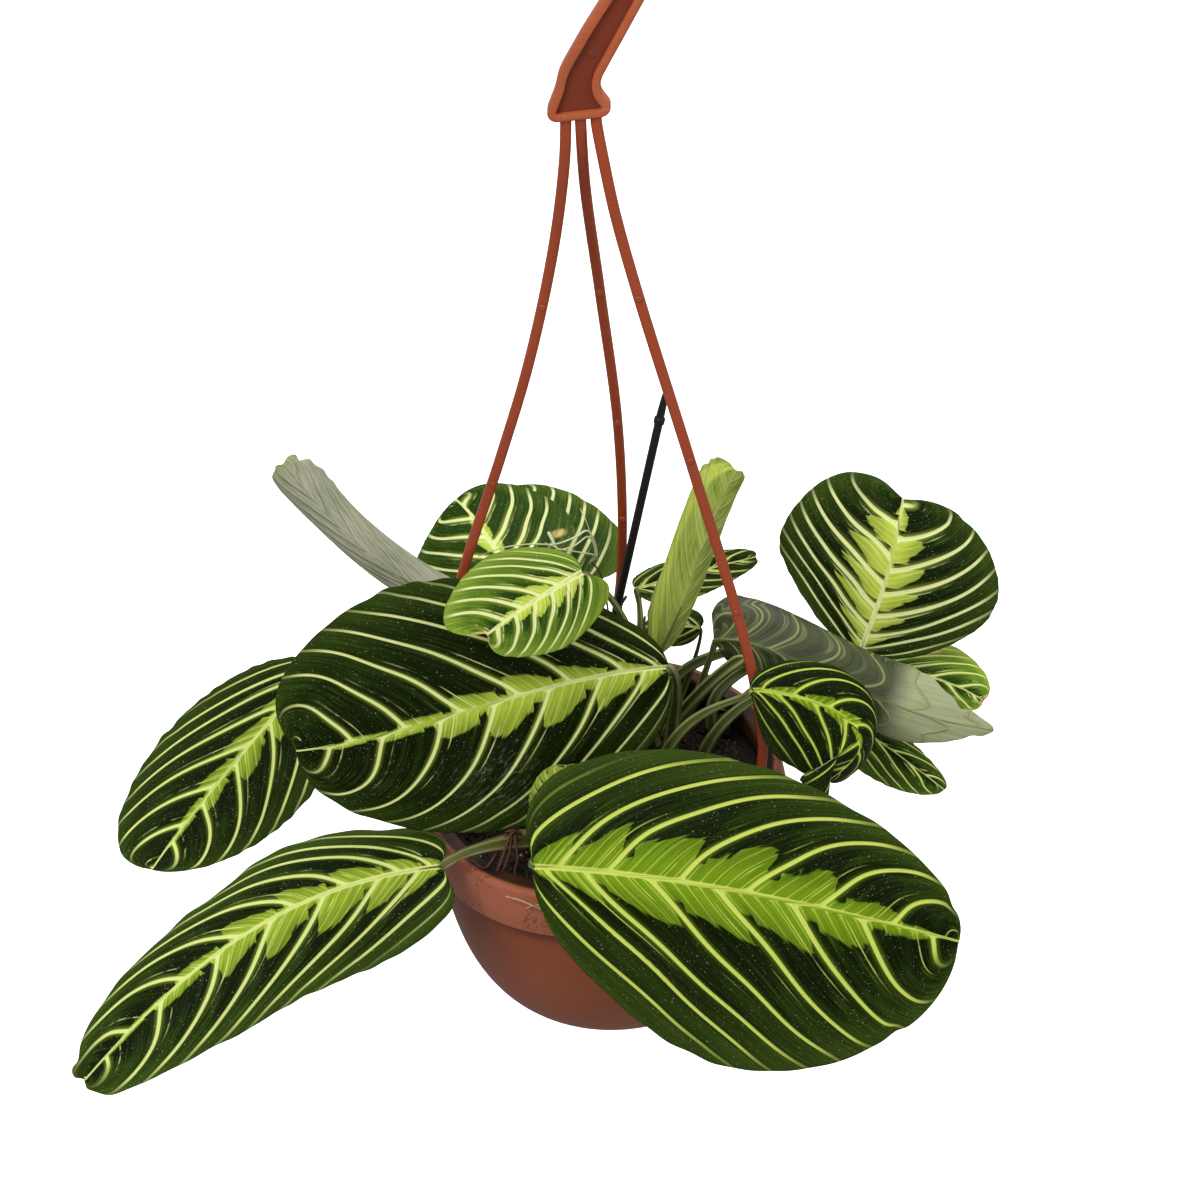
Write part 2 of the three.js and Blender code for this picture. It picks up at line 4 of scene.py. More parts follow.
import bpy
import numpy as np
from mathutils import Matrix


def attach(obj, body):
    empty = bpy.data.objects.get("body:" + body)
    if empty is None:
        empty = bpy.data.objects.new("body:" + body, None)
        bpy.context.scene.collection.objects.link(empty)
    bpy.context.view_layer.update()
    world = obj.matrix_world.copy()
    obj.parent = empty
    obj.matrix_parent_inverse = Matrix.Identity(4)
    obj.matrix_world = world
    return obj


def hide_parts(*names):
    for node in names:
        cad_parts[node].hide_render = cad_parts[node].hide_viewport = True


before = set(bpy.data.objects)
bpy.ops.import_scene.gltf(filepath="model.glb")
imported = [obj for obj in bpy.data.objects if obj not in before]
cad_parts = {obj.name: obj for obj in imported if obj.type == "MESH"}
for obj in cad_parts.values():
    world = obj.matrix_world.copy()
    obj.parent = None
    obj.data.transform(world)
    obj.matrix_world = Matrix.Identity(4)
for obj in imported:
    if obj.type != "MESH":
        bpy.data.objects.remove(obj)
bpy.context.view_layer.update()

bl_info = {
    "name": "Hanging prayer plant",
    "version": (1, 0, 0),
    "blender": (4, 5, 0),
    "location": "View3D > Sidebar > Plant",
    "description": "Builds a potted prayer plant with its hanger, soil and stake",
    "category": "Object",
}

# Pot and soil in millimetres, measured in the pot's own frame with its rim plane at height 0.
POT_TILT = math.radians(-6.5)
RIM_BELOW_HOOK = 385.0
RIM_RADIUS = 77.5
POT_HEIGHT = 103.0
BOWL_RADIUS = 75.4
BASE_RADIUS = 48
COLLAR_HEIGHT = 21.0
LEDGE = 9.0
NECK_DRAWN_IN = 2.2
SOIL_TOP = -13.0
SOIL_GAP = 2.8
CROWN_RADIUS = 60.6
STRAND_CIRCLE = RIM_RADIUS - 4.4
STRAND_ANGLES = {"left": 192.0, "back": 84.0, "right": -20.0}
STRAND_ROUTES = {
    "left": [(-12, 0, 304.4), (-12, 0, 303), (-12.6, 0, 287), (-17, 2, 251), (-27, 4, 201), (-39, 5, 157),
             (-54, 3, 108), (-65, -5, 66)],
    "back": [(-6.8, 0, 304.6), (-6.8, 0, 303), (-5.5, 7, 275), (0, 25, 220), (7, 45, 150), (9.5, 60, 91),
             (9, 70, 50)],
    "right": [(-1.4, 0, 304.8), (-1.4, 0, 303), (1.5, -2, 287), (5.5, -4, 268), (14, -8, 237), (34, -14, 170),
              (54, -21, 102), (62, -24, 69), (67, -25, 36)],
}
STRAND_MARKS = {"left": (226, 148), "back": (220, 150, 91), "right": (237, 170, 102)}
# The hook's outline: centre of its arch, inner radius, width, where its tip lies on the arch, and the
# corners of its foot and neck in x and z.
HOOK_CENTRE = (0, 372)
HOOK_INNER = 13
HOOK_BAND = 12
HOOK_TIP = math.degrees(math.pi + .45)
HOOK_NECK = math.degrees(-.4)
HOOK_CORNERS = np.array([
    (-16, 302.8), (2, 305), (6, 308), (2.6, 311.5), (-1.5, 315), (1, 320.5), (8, 334), (18, 353.5), (24.5, 363),
    (25, 372), (8, 359), (0, 347), (-6, 337), (-12, 326), (-15, 321), (-15.3, 316), (-18.3, 308),
    (-20, 304)], float)

# A full turn as the seeded waves and fibres take it.
TURN = 6.28
# Stalks: how far they reach under the soil, the height over it at which their route starts, and their radius
# at the foot and at the blade.
FOOT_DEPTH = 6
FOOT_RISE = 3
FOOT_RADIUS = 2.1
TOP_RADIUS = 1.25
# Blades: the length at which the relief is full, the relief's heights (between the veins, ruffled edge, valley
# of the midrib, ragged edge, midrib underneath), and half the thickness at the midrib with its loss at the edge.
FULL_LENGTH = 150
QUILT, RUFFLE, VALLEY, JAG, RIDGE = .75, 1.3, .8, .55, .75
SKIN, SKIN_LOSS = .3, .16
# Points along and across a rolled blade.
ROLLED_GRID = (116, 96)

# Each leaf, in millimetres about the rim's centre. foot: on the soil. stalk: two points of its stalk. rib: four
# points of its midrib. half: half widths, left and right. face: the way it looks at base and tip. curl: degrees
# from midrib to edge. lobe: how far the edges reach back at the base, then on at the tip. widest: where each
# half is widest. fullness: the outline's power. Form, where given: grid (its points), wave (height, count
# and start), opens (of the roll at the tip), point (the tip narrows), drape (pulls the right half along the
# midrib), bites (place along, side, depth), thick (the stalk).
# Veins: veins (1.25 times their count a side), sweep and lean (how far they run on towards the tip), bow (more
# so halfway), line (their width). Colours: band (its width), long (how far up it stays wide), tone (pale edge,
# deep teeth, creamy veins), gleam (half, inner and outer share, place along of the lip on the underside), dry
# (the tip), spots (place along, place across, size), scuff (a pale streaky patch of painted sheen), tint
# (browns the stalk), skin, and upper, where the upper face has another finish than its skin's.
LEAVES = {
    "leaf_front_left": dict(
        foot=(30, 4), stalk=[(31, 4, 20), (32, -4, 48)],
        rib=[(28, -14, 68), (-24, -26, 66), (-73, -34, 54), (-123, -38, 44)], half=(60, 57),
        face=[(0, -1, .35), (-.15, -1, .25)], curl=(16, 14), lobe=(16, 12, 4, 34), widest=(.45, .6), thick=1.3,
        veins=8.2, band=.25, long=.0, line=.78, painted_sheen=1, lean=(.75, .7), tone=(.25, .75, .7)),
    "leaf_front_right": dict(
        foot=(-16, -42), stalk=[(-20, -53, 0), (-26, -63, 8)],
        rib=[(-27, -72, 12), (30, -80, 12), (88, -86, 3), (145, -86, -16)], half=(52, 78),
        face=[(0, -.88, .5), (.1, -.85, .5)], curl=(16, 22), lobe=(14, 14, 0, 20), widest=(.36, .56),
        veins=7.5, band=.33, long=.2, tone=(.36, .6, .1), bites=[(.9, 1, 2.0), (.96, -1, 1.6)]),
    "leaf_long_left": dict(
        foot=(-20, -30), stalk=[(-32, -42, -1), (-50, -53, 4)],
        rib=[(-64, -60, 1), (-113, -74, -2), (-158, -98, -16), (-204, -132, -47)], half=(36, 30),
        face=[(0, -.5, .85), (-.3, -.5, .8)], curl=(42, 42), lobe=(14, 12, 20, 24), widest=(.4, .42),
        fullness=.44, wave=(3, 2.2, .2), veins=8, band=.34, line=.85, lean=(1.6, 1.15), tone=(.45, .8, .5),
        thick=1.6, tint=.3, bites=[(.985, -1, 3.0), (.955, 1, 2.2)]),
    "leaf_left": dict(
        foot=(-30, 22), stalk=[(-50, 34, 28), (-92, 50, 34)],
        rib=[(-125, 50, 18), (-143, 30, 5), (-168, 2, -13), (-190, -34, -26)], half=(36, 40),
        face=[(-.2, -.5, .8), (-.2, -.6, .8)], curl=(20, 24), lobe=(14, 14, 0, 12), widest=(.5, .6),
        veins=7, band=.25, line=.8, lean=(1, 1.25), tone=(.3, .8, .45)),
    "leaf_small_lime": dict(
        foot=(16, 6), stalk=[(18, 4, 40), (10, -4, 84)],
        rib=[(-7, -14, 116), (-18, -22, 114), (-31, -32, 111), (-44, -40, 105)], half=(22, 27),
        face=[(0, -.7, .7), (0, -.7, .7)], curl=(25, 30), lobe=(26, 16, 14, 40), widest=(.46, .6),
        veins=7, band=.3, skin="lime", lean=(.7, .7), dry=.008, tone=(.7, .7, .8)),
    "leaf_right_up": dict(
        foot=(30, 40), stalk=[(44, 50, 20), (84, 52, 28)],
        rib=[(114, 46, 29), (120, 52, 47), (126, 62, 65), (132, 83, 84)], half=(50, 51),
        face=[(0, -.8, .6), (0, -.7, .7)], curl=(20, 20), lobe=(14, 14, 36, 10), widest=(.64, .6),
        fullness=.46, veins=7.2, band=.38, long=.36, sweep=.34, lean=(.85, .4), tone=(.35, 1, .85),
        bites=[(.985, -1, 2.5), (.93, 1, 1.5)]),
    "leaf_rolled_right": dict(
        foot=(38, 44), stalk=[(41, 43, 0), (46, 40, 22)],
        rib=[(50, 36, 43), (78, 20, 47), (116, 8, 34), (167, 2, 21)], half=(40, 40),
        face=[(.1, .8, -.4), (0, .8, -.5)], curl=(-165, -150), lobe=(10, 10, 4, 14), widest=(.36, .36),
        grid=ROLLED_GRID, veins=7.5, band=.3, skin="olive", lean=(.1, .1), sweep=0, bow=.075,
        opens=.3, point=.6, line=1.3, gleam=(0, -.2, 1.2, .68), bites=[(.9, 1, 2.5), (.95, -1, 2.0)]),
    "leaf_arching_dark": dict(
        foot=(20, -12), stalk=[(34, -16, 36), (50, -30, 62)],
        rib=[(60, -38, 76), (88, -22, 56), (106, -24, 41), (94, -34, 25)], half=(22, 29), fullness=.5,
        face=[(0, -.6, .8), (.8, -.6, .1)], curl=(50, 36), lobe=(0, 9, 6, 4), widest=(.55, .45), drape=19,
        veins=6.2, band=.2, line=.62, tone=(.12, .9, 0)),
    "leaf_new_rolled": dict(
        foot=(24, 26), stalk=[(23, 26, 6), (24, 26, 25)],
        rib=[(24, 26, 43), (36, 30, 73), (45, 34, 102), (56, 40, 128)], half=(24, 26),
        face=[(-.2, 1, 0), (-.2, 1, .1)], curl=(-150, -170), lobe=(3, 3, 6, 14), widest=(.6, .6),
        grid=ROLLED_GRID, veins=8, band=.4, skin="lime", lean=(1.8, 1.8), gleam=(1, .36, .74, 0),
        bites=[(.9, 1, 3.0), (.97, -1, 3.0), (.94, 1, 2.0)]),
    "leaf_silver_rolled": dict(
        foot=(-12, 28), stalk=[(-20, 28, 20), (-38, 20, 54)],
        rib=[(-62, 16, 77), (-88, 26, 89), (-110, 34, 107), (-130, 42, 130)], half=(22, 24),
        face=[(0, .8, -.4), (0, .8, -.4)], curl=(-150, -170), lobe=(4, 4, 14, 14), widest=(.42, .42),
        grid=ROLLED_GRID, veins=7, band=.3, skin="silver", lean=(5, 5), opens=.2,
        gleam=(0, -.2, 1.2, .93), bites=[(.93, -1, 3.0), (.97, 1, 2.0)]),
    "leaf_back_left": dict(
        foot=(4, 36), stalk=[(0, 42, 30), (-16, 42, 58)],
        rib=[(-34, 50, 69), (-45, 72, 64), (-54, 92, 64), (-65, 110, 65)], half=(36, 38),
        face=[(0, -.3, 1), (0, -.5, .9)], curl=(20, 10), lobe=(12, 12, 0, 6), veins=5, band=.14,
        upper="leaf lime", spots=[(.3, .8, .08), (.42, -.9, .06)], tone=(.1, .6, .9)),
    "leaf_back": dict(
        foot=(0, 48), stalk=[(0, 54, 20), (-6, 60, 40)],
        rib=[(-15, 66, 50), (-25, 88, 50), (-35, 112, 51), (-45, 138, 51)], half=(30, 43),
        face=[(.1, -.3, 1), (0, -.5, .9)], curl=(10, 30), lobe=(12, 12, 4, 4), veins=6, band=.16,
        upper="leaf lime", spots=[(.25, -.9, .06)], tone=(.2, .6, .9)),
    "leaf_back_low": dict(
        foot=(16, 54), stalk=[(17, 62, 8), (18, 72, 24)],
        rib=[(16, 82, 36), (31, 87, 37), (49, 90, 41), (70, 92, 46)], half=(12, 12),
        face=[(0, -.3, 1), (0, -.3, 1)], curl=(20, 20), lobe=(4, 4, 8, 8), veins=5, band=.12, line=.6,
        lean=(1.8, 1.8)),
    "leaf_tucked": dict(
        foot=(34, 46), stalk=[(38, 50, 6), (43, 55, 22)],
        rib=[(44, 57, 33), (37, 60, 32), (29, 63, 30), (20, 66, 27)], half=(10, 10),
        face=[(0, -.5, 1), (0, -.5, 1)], curl=(20, 20), lobe=(4, 4, 2, 2), veins=4, band=.1, line=.5, thick=.6,
        lean=(1.6, 1.6)),
    "leaf_right_under": dict(
        foot=(50, 34), stalk=[(60, 45, 16), (92, 60, 17)],
        rib=[(122, 62, 8), (138, 56, 9), (154, 47, 10), (169, 38, 7)], half=(21, 16),
        face=[(0, -.4, .9), (.2, -.5, .8)], curl=(20, 20), lobe=(8, 8, 6, 6), veins=5, band=.05, line=.55,
        lean=(2.2, 2.2), upper="leaf lime", spots=[(.42, -.7, .13)], dry=.02, tone=(1, .5, .6)),
    "leaf_right_low": dict(
        foot=(46, 18), stalk=[(60, 24, 14), (80, 31, 20)],
        rib=[(98, 32, 12), (115, 26, 1), (133, 16, -8), (149, 2, -13)], half=(11, 16),
        face=[(0, -.5, .9), (.3, -.5, .8)], curl=(20, 20), lobe=(8, 8, 4, 4), veins=4.5, band=.03, line=.4,
        lean=(2.6, 2.6), tone=(1, .5, .4)),
    "leaf_new_front": dict(
        foot=(-1, -33), stalk=[(-5, -38, -7), (-9, -42, -6)],
        rib=[(-12, -44, -4), (-12, -44, 13), (-13, -42, 27), (-14, -40, 38)], half=(17, 17),
        face=[(0, -1, .3), (0, -1, .3)], curl=(16, 16), lobe=(6, 6, 4, 4), veins=6, band=1, long=1.0,
        line=.6, skin="lime", tone=(1, .4, .5)),
}
STUBS = {
    "stalk_cut": dict(foot=(30, 30), path=[(35, 29, 6), (47, 26, 26), (60, 22, 43)], radius=(2.6, 2.4)),
    "bract": dict(foot=(16, 20), path=[(17, 22, 12), (18, 26, 38), (19, 30, 60)], radius=(2.2, .5)),
}
STAKE = [(-8.4, 30, -24), (25.7, 30, 170.5)]
# Each skin: finish of the upper face, finish of the underside, slot.
SKINS = {
    "green": ("leaf green", "underside silver", "leaf_green"),
    "lime": ("leaf lime", "underside young", "leaf_lime"),
    "silver": ("leaf green", "underside silver", "leaf_underside"),
    "olive": ("leaf green", "underside olive", "leaf_underside"),
}
# Points along and across a blade, by the half width that it has to pass.
GRIDS = {55: (180, 92), 30: (146, 76), 0: (90, 50)}
# Thin strands: finish, how they are drawn, and for each the points that it passes and its first radius.
STRANDS = {
    "roots": ("root", dict(step=1.2, thin=.4, seed=.1), [
        ([(-30, -32, -13), (-34, -39, 0), (-36, -46, 7), (-38, -49, 4), (-40, -53, 0), (-43, -57, -6),
          (-47, -57, -9)], 1.0),
        ([(-28, -34, -13), (-34, -40, 0), (-36.5, -46.5, 6.4), (-37, -50, 1), (-39, -54, -4), (-41, -58, -8),
          (-38, -60, -10)], .85),
        ([(-32, -32, -13), (-36, -41, 1), (-39, -47.5, 5), (-44, -52, -2), (-48, -55, -6), (-52, -52, -9)], .75),
        ([(-27, -33, -12), (-33, -41, 1), (-35, -47.5, 5.6), (-34, -52, -2), (-35, -56, -8),
          (-31, -58, -11)], .8),
        ([(-33, -45, 4.6), (-36, -46.2, 8), (-39, -46, 6.6), (-37, -44.6, 5.4), (-34, -45, 6.6),
          (-36, -47.4, 7)], .7),
        ([(-35, -45, 7), (-42, -50, 0), (-47, -56, -4), (-50, -57, -1.4), (-55, -52, .8), (-58, -47, 1)], .5),
        ([(-24, -22, -13), (-33, -21, -8), (-42, -18, -10)], .7),
        ([(-36, -34, -12), (-33, -42, 1), (-30, -46, 4), (-27, -47, -2), (-26, -50, -11)], .6)]),
    "straw": ("straw", dict(step=1.5, flat=.5), [
        ([(-38, -70.6, -6), (-32, -73.6, -5.4), (-25, -76, -7), (-19, -77.6, -7.4)], .6),
        ([(-30, -74.3, -9), (-26, -76.2, -5.5), (-23, -77, -4.6)], .5)]),
    "dry_stems": ("stalk brown", dict(step=1.5, thin=.6, sides=9, reference=(.2, .9, .2), seed=.25), [
        ([(13, 34, -14), (12, 36, 20), (10, 35, 46), (9, 38, 60), (11, 40, 63)], 1.1),
        ([(18, 34, -14), (15, 33, 20), (14, 30, 42), (12, 34, 54), (8, 36, 56)], .9),
        ([(6, 24, -13), (5, 25, 40), (0, 26, 86), (-6, 27, 94)], .6),
        ([(10, 27, -13), (9, 25, 24), (5, 24, 52), (3, 24, 66)], .7),
        ([(15, 27, -13), (16, 25, 16), (12, 26, 38), (13, 28, 50)], .6)]),
    "torn_threads": ("thread", dict(step=1.2, thin=.4, reference=(.1, .3, 1), flat=.6, seed=-.4), [
        ([(-4, 27, 91), (-1.6, 24, 97), (-5.3, 20, 112), (-10, 17, 111), (-18, 14, 109.6), (-28, 12, 111),
          (-38.6, 9, 111.5), (-49, 8, 108)], .75),
        ([(-4, 27, 91), (-1.6, 24, 96), (-4.9, 20, 109), (-10.6, 15, 108), (-19.5, 12, 107.6), (-29, 12, 109),
          (-41, 9, 109)], .6),
        ([(-20.7, 18, 112), (-18.3, 14, 109), (-15.8, 12, 105)], .9),
        ([(-4, 27, 91), (-1.6, 24, 96), (-5.7, 22, 115.5), (-8, 26, 118.5)], .5),
        ([(-4, 27, 91), (-1.6, 24, 96), (-8.2, 16, 104), (-16, 12, 108.5), (-22, 12, 111.5)], .7)]),
}
# Each lamp: name, place, width, share of the main power. All look at one place.
LIGHTS = (("key light", (-.9, -1.1, 1.3), 1.2, 1), ("fill light", (1.2, -.9, .7), 1.6, .35),
          ("back light", (.2, 1.3, 1.1), 1.6, .8))
LIT_PLACE = (0, 0, -.35)
CAMERA_PLACE = (0, -.750, .276)
CAMERA_TURN = 52.8


# ---------------------------------------------------------------- sums on whole arrays

def row(points):
    """Millimetres about the rim's centre to metres about the hook: move down, then scale."""
    return (np.asarray(points, float) + (0, 0, -RIM_BELOW_HOOK)) * .001


def tilted(points):
    """Turn points about the Y axis through the rim's centre by the pot's lean."""
    x, y, z = np.moveaxis(np.asarray(points, float), -1, 0)
    c, s = math.cos(POT_TILT), math.sin(POT_TILT)
    return grouped(x * c + z * s, y, z * c - x * s)


def soil_height(x):
    """The soil's level: 12.5 mm under the rim plane, rising with the pot's lean."""
    return -12.5 - math.tan(POT_TILT) * x


def grouped(*values):
    """Arrays and numbers side by side on a last axis, such as coordinates as points."""
    return np.stack(np.broadcast_arrays(*values), axis=-1)


def bell(x, middle, width):
    """One where x is at the middle, falling off to both sides: e to the power -((x - middle) / width)²."""
    return np.exp(-((x - middle) / width) ** 2)


def unit(v):
    """Vectors divided by their lengths."""
    return v / np.maximum(np.linalg.norm(v, axis=-1, keepdims=True), 1e-9)


def ease(x, low, high):
    """Zero below low, one above high, and 3t² - 2t³ between."""
    t = np.clip((x - low) / (high - low), 0, 1)
    return t * t * (3 - 2 * t)


def ripple(x, y, seed):
    """Smooth noise, mostly from -1 to 1: six sine waves with seeded directions, lengths and phases, added."""
    rng = np.random.default_rng(seed)
    total = 0
    for angle, size, phase in rng.uniform((0, .6, 0), (TURN, 2.2, TURN), (6, 3)):
        total = total + np.sin(size * (x * math.cos(angle) + y * math.sin(angle)) * TURN + phase)
    return total / 3.2


def lengths(path):
    """How far along a path each of its points lies."""
    return np.concatenate([[0], np.cumsum(np.linalg.norm(np.diff(path, axis=0), axis=1))])


def smooth_path(points, step=2.0):
    """Centripetal Catmull-Rom curve through the points, then spaced evenly by its length."""
    p = np.asarray(points, float)
    p = np.vstack([2 * p[0] - p[1], p, 2 * p[-1] - p[-2]])
    gap = np.maximum(np.sqrt(np.linalg.norm(np.diff(p, axis=0), axis=1)), 1e-4)
    t = np.linspace(0, len(p) - 3, 40 * (len(p) - 3), endpoint=False)
    i = np.minimum(t.astype(int), len(p) - 4)
    f = (t - i)[:, None]
    a, b, c, d = p[i], p[i + 1], p[i + 2], p[i + 3]
    g0, g1, g2 = gap[i][:, None], gap[i + 1][:, None], gap[i + 2][:, None]
    m1 = ((b - a) / g0 - (c - a) / (g0 + g1) + (c - b) / g1) * g1
    m2 = ((c - b) / g1 - (d - b) / (g1 + g2) + (d - c) / g2) * g1
    dense = (b + m1 * f + (-3 * b + 3 * c - 2 * m1 - m2) * f ** 2 + (2 * b - 2 * c + m1 + m2) * f ** 3)
    dense = np.vstack([dense, p[-2]])
    length = lengths(dense)
    at = np.linspace(0, length[-1], max(int(length[-1] / step), 3) + 1)
    return grouped(*(np.interp(at, length, dense[:, k]) for k in range(3)))


class Surface:
    """Points, faces of four and three corners, a material number, and values kept at the points."""

    def __init__(self, points, quads, tris=(), slot=0, **values):
        self.points = np.asarray(points, float).reshape(-1, 3)
        self.quads = np.asarray(quads, int).reshape(-1, 4)
        self.tris = np.asarray(tris, int).reshape(-1, 3)
        self.slots = [np.full(len(self.quads), slot), np.full(len(self.tris), slot)]
        self.values = {k: np.asarray(v, float).reshape(-1, 3) for k, v in values.items()}
        if self.volume() < 0:
            self.quads, self.tris = self.quads[:, ::-1], self.tris[:, ::-1]

    def volume(self):
        """A sixth of the sum of the corner triple products: below zero if the faces point inwards."""
        halves = np.vstack([self.quads[:, [0, 1, 2]], self.quads[:, [0, 2, 3]], self.tris])
        a, b, c = (self.points[halves[:, k]] for k in range(3))
        return float(np.einsum("ij,ij->", a, np.cross(b, c))) / 6


def joined(surfaces):
    """One surface out of many, with each one's corners numbered after the last."""
    starts = np.cumsum([0] + [len(s.points) for s in surfaces])
    whole = Surface.__new__(Surface)
    whole.points = np.vstack([s.points for s in surfaces])
    whole.quads = np.vstack([s.quads + n for s, n in zip(surfaces, starts)])
    whole.tris = np.vstack([s.tris + n for s, n in zip(surfaces, starts)])
    whole.slots = [np.concatenate([s.slots[k] for s in surfaces]) for k in (0, 1)]
    names = sorted({k for s in surfaces for k in s.values})
    whole.values = {k: np.vstack([s.values.get(k, np.zeros((len(s.points), 3))) for s in surfaces])
                    for k in names}
    return whole


def new_mesh(name, surface, smooth=True):
    """A mesh of a surface's points and faces."""
    mesh = bpy.data.meshes.new(name)
    mesh.from_pydata(surface.points.tolist(), [], surface.quads.tolist() + surface.tris.tolist())
    mesh.polygons.foreach_set("use_smooth", np.full(len(mesh.polygons), smooth))
    return mesh


def in_scene(name, data):
    """An object of a mesh, a lamp or a camera."""
    thing = bpy.data.objects.new(name, data)
    bpy.context.scene.collection.objects.link(thing)
    return thing


def keep(mesh, name, values):
    """Three numbers kept at each of a mesh's points."""
    layer = mesh.attributes.new(name, "FLOAT_VECTOR", "POINT")
    layer.data.foreach_set("vector", np.asarray(values, np.float32).ravel())


def piece(name, surfaces, finishes, nodes=(), sharp=None):
    """A closed mesh object of the surfaces, shaded smooth, which rides on the plant."""
    whole = joined(surfaces)
    mesh = new_mesh(name, whole)
    mesh.polygons.foreach_set("material_index", np.concatenate(whole.slots).astype(np.int32))
    for key, value in whole.values.items():
        keep(mesh, key, value)
    for material in finishes:
        mesh.materials.append(material)
    mesh.update()
    if sharp:
        mesh.set_sharp_from_angle(angle=math.radians(sharp))
    thing = in_scene(name, mesh)
    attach(thing, "root")
    if nodes:
        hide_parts(*nodes)
    return thing


def loops(rings, closed=False, capped=True, slot=0, **values):
    """Rings of points, stations by corners by 3, joined into a skin whose ends close on their middles."""
    n, k = rings.shape[:2]
    i, j = np.meshgrid(np.arange(n if closed else n - 1), np.arange(k), indexing="ij")
    i2, j2 = (i + 1) % n, (j + 1) % k
    quads = grouped(i * k + j, i * k + j2, i2 * k + j2, i2 * k + j).reshape(-1, 4)
    points, tris = rings.reshape(-1, 3), np.zeros((0, 3), int)
    if capped and not closed:
        points = np.vstack([points, rings[0].mean(0), rings[-1].mean(0)])
        j = np.arange(k)
        j2 = (j + 1) % k
        tris = np.vstack([grouped(j2, j, n * k), grouped((n - 1) * k + j, (n - 1) * k + j2, n * k + 1)])
        values = {key: np.vstack([v.reshape(-1, 3), v[0].mean(0), v[-1].mean(0)]) for key, v in values.items()}
    return Surface(points, quads, tris, slot, **values)


def tube(path, radius, sides=12, reference=(0, 1, 0), round_ends=True, slot=0, seed=0.0, flat=1.0,
         ridges=(5, 0.0, .6), groove=0.0):
    """A round section carried along a path; each ring stands square to the path, and domes end it.
    Ridges are how many, how high as a share of the radius, and where; flat thins the section one way;
    a groove sinks the side that faces the reference.
    Kept value stalk: millimetres from the start, share of the way round, seed."""
    path = np.asarray(path, float)
    radius = np.broadcast_to(np.asarray(radius, float), (len(path),))
    sunk = np.broadcast_to(np.asarray(groove, float), (len(path),))
    if round_ends:
        sunk = np.pad(sunk, 3, mode="edge")
        out, small = np.array([.5, .87, 1.0]), np.array([.87, .5, .06])
        first, last = unit(path[0] - path[1]), unit(path[-1] - path[-2])
        path = np.vstack([path[0] + first * (out[::-1] * radius[0])[:, None], path,
                          path[-1] + last * (out * radius[-1])[:, None]])
        radius = np.concatenate([small[::-1] * radius[0], radius, small * radius[-1]])
    way = unit(np.gradient(path, axis=0))
    side = unit(np.cross(way, np.asarray(reference, float)))
    up = np.cross(side, way)
    angle = np.linspace(0, math.tau, sides, endpoint=False)
    trough = bell(angle, math.pi / 2, .42) - .3 * bell(np.abs(angle - math.pi / 2), .8, .3)
    bulge = 1 + ridges[1] * np.cos(ridges[0] * angle + ridges[2]) - sunk[:, None] * trough
    rings = (path[:, None] + radius[:, None, None] * ((bulge * np.cos(angle))[..., None] * side[:, None]
             + flat * (bulge * np.sin(angle))[..., None] * up[:, None]))
    kept = grouped(lengths(path)[:, None], angle / math.tau, seed)
    return loops(row(rings), slot=slot, stalk=kept)


def taper(points, radius, step, thin=1.0, sides=8, reference=(.1, .2, 1), **section):
    """A tube on a smooth path through the points, which narrows to thin times its first radius."""
    path = smooth_path(points, step)
    return tube(path, np.linspace(radius, radius * thin, len(path)), sides, reference, **section)


# ---------------------------------------------------------------- finishes

def linear(r, g, b):
    """A screen colour from 0 to 255 as the linear colour that shaders use."""
    c = np.array([r, g, b]) / 255
    return (*np.where(c <= .04045, c / 12.92, ((c + .055) / 1.055) ** 2.4), 1.0)


class Wire:
    """A shader socket with the usual signs: each one adds its Math node to the material."""

    def __init__(self, owner, socket):
        self.owner, self.socket = owner, socket

    def math(self, operation, *others):
        return self.owner.node("ShaderNodeMath", dict(operation=operation), dict(enumerate((self, *others))))

    def __add__(self, other):
        return self.math("ADD", other)

    def __sub__(self, other):
        return self.math("SUBTRACT", other)

    def __mul__(self, other):
        return self.math("MULTIPLY", other)

    def __truediv__(self, other):
        return self.math("DIVIDE", other)

    def __pow__(self, other):
        return self.math("POWER", other)

    def __rsub__(self, other):
        return self.owner.node("ShaderNodeMath", dict(operation="SUBTRACT"), {0: other, 1: self})

    __radd__ = __add__
    __rmul__ = __mul__

    def ease(self, low, high):
        """Zero at low and one at high, smoothly; low may lie above high."""
        return self.owner.node("ShaderNodeMapRange", dict(interpolation_type="SMOOTHSTEP"),
                               {0: self, 1: low, 2: high, 3: 0.0, 4: 1.0})

    def least(self, other):
        return self.math("MINIMUM", other)

    def most(self, other):
        return self.math("MAXIMUM", other)

    def part(self):
        return self.math("FRACT")

    def size(self):
        return self.math("ABSOLUTE")


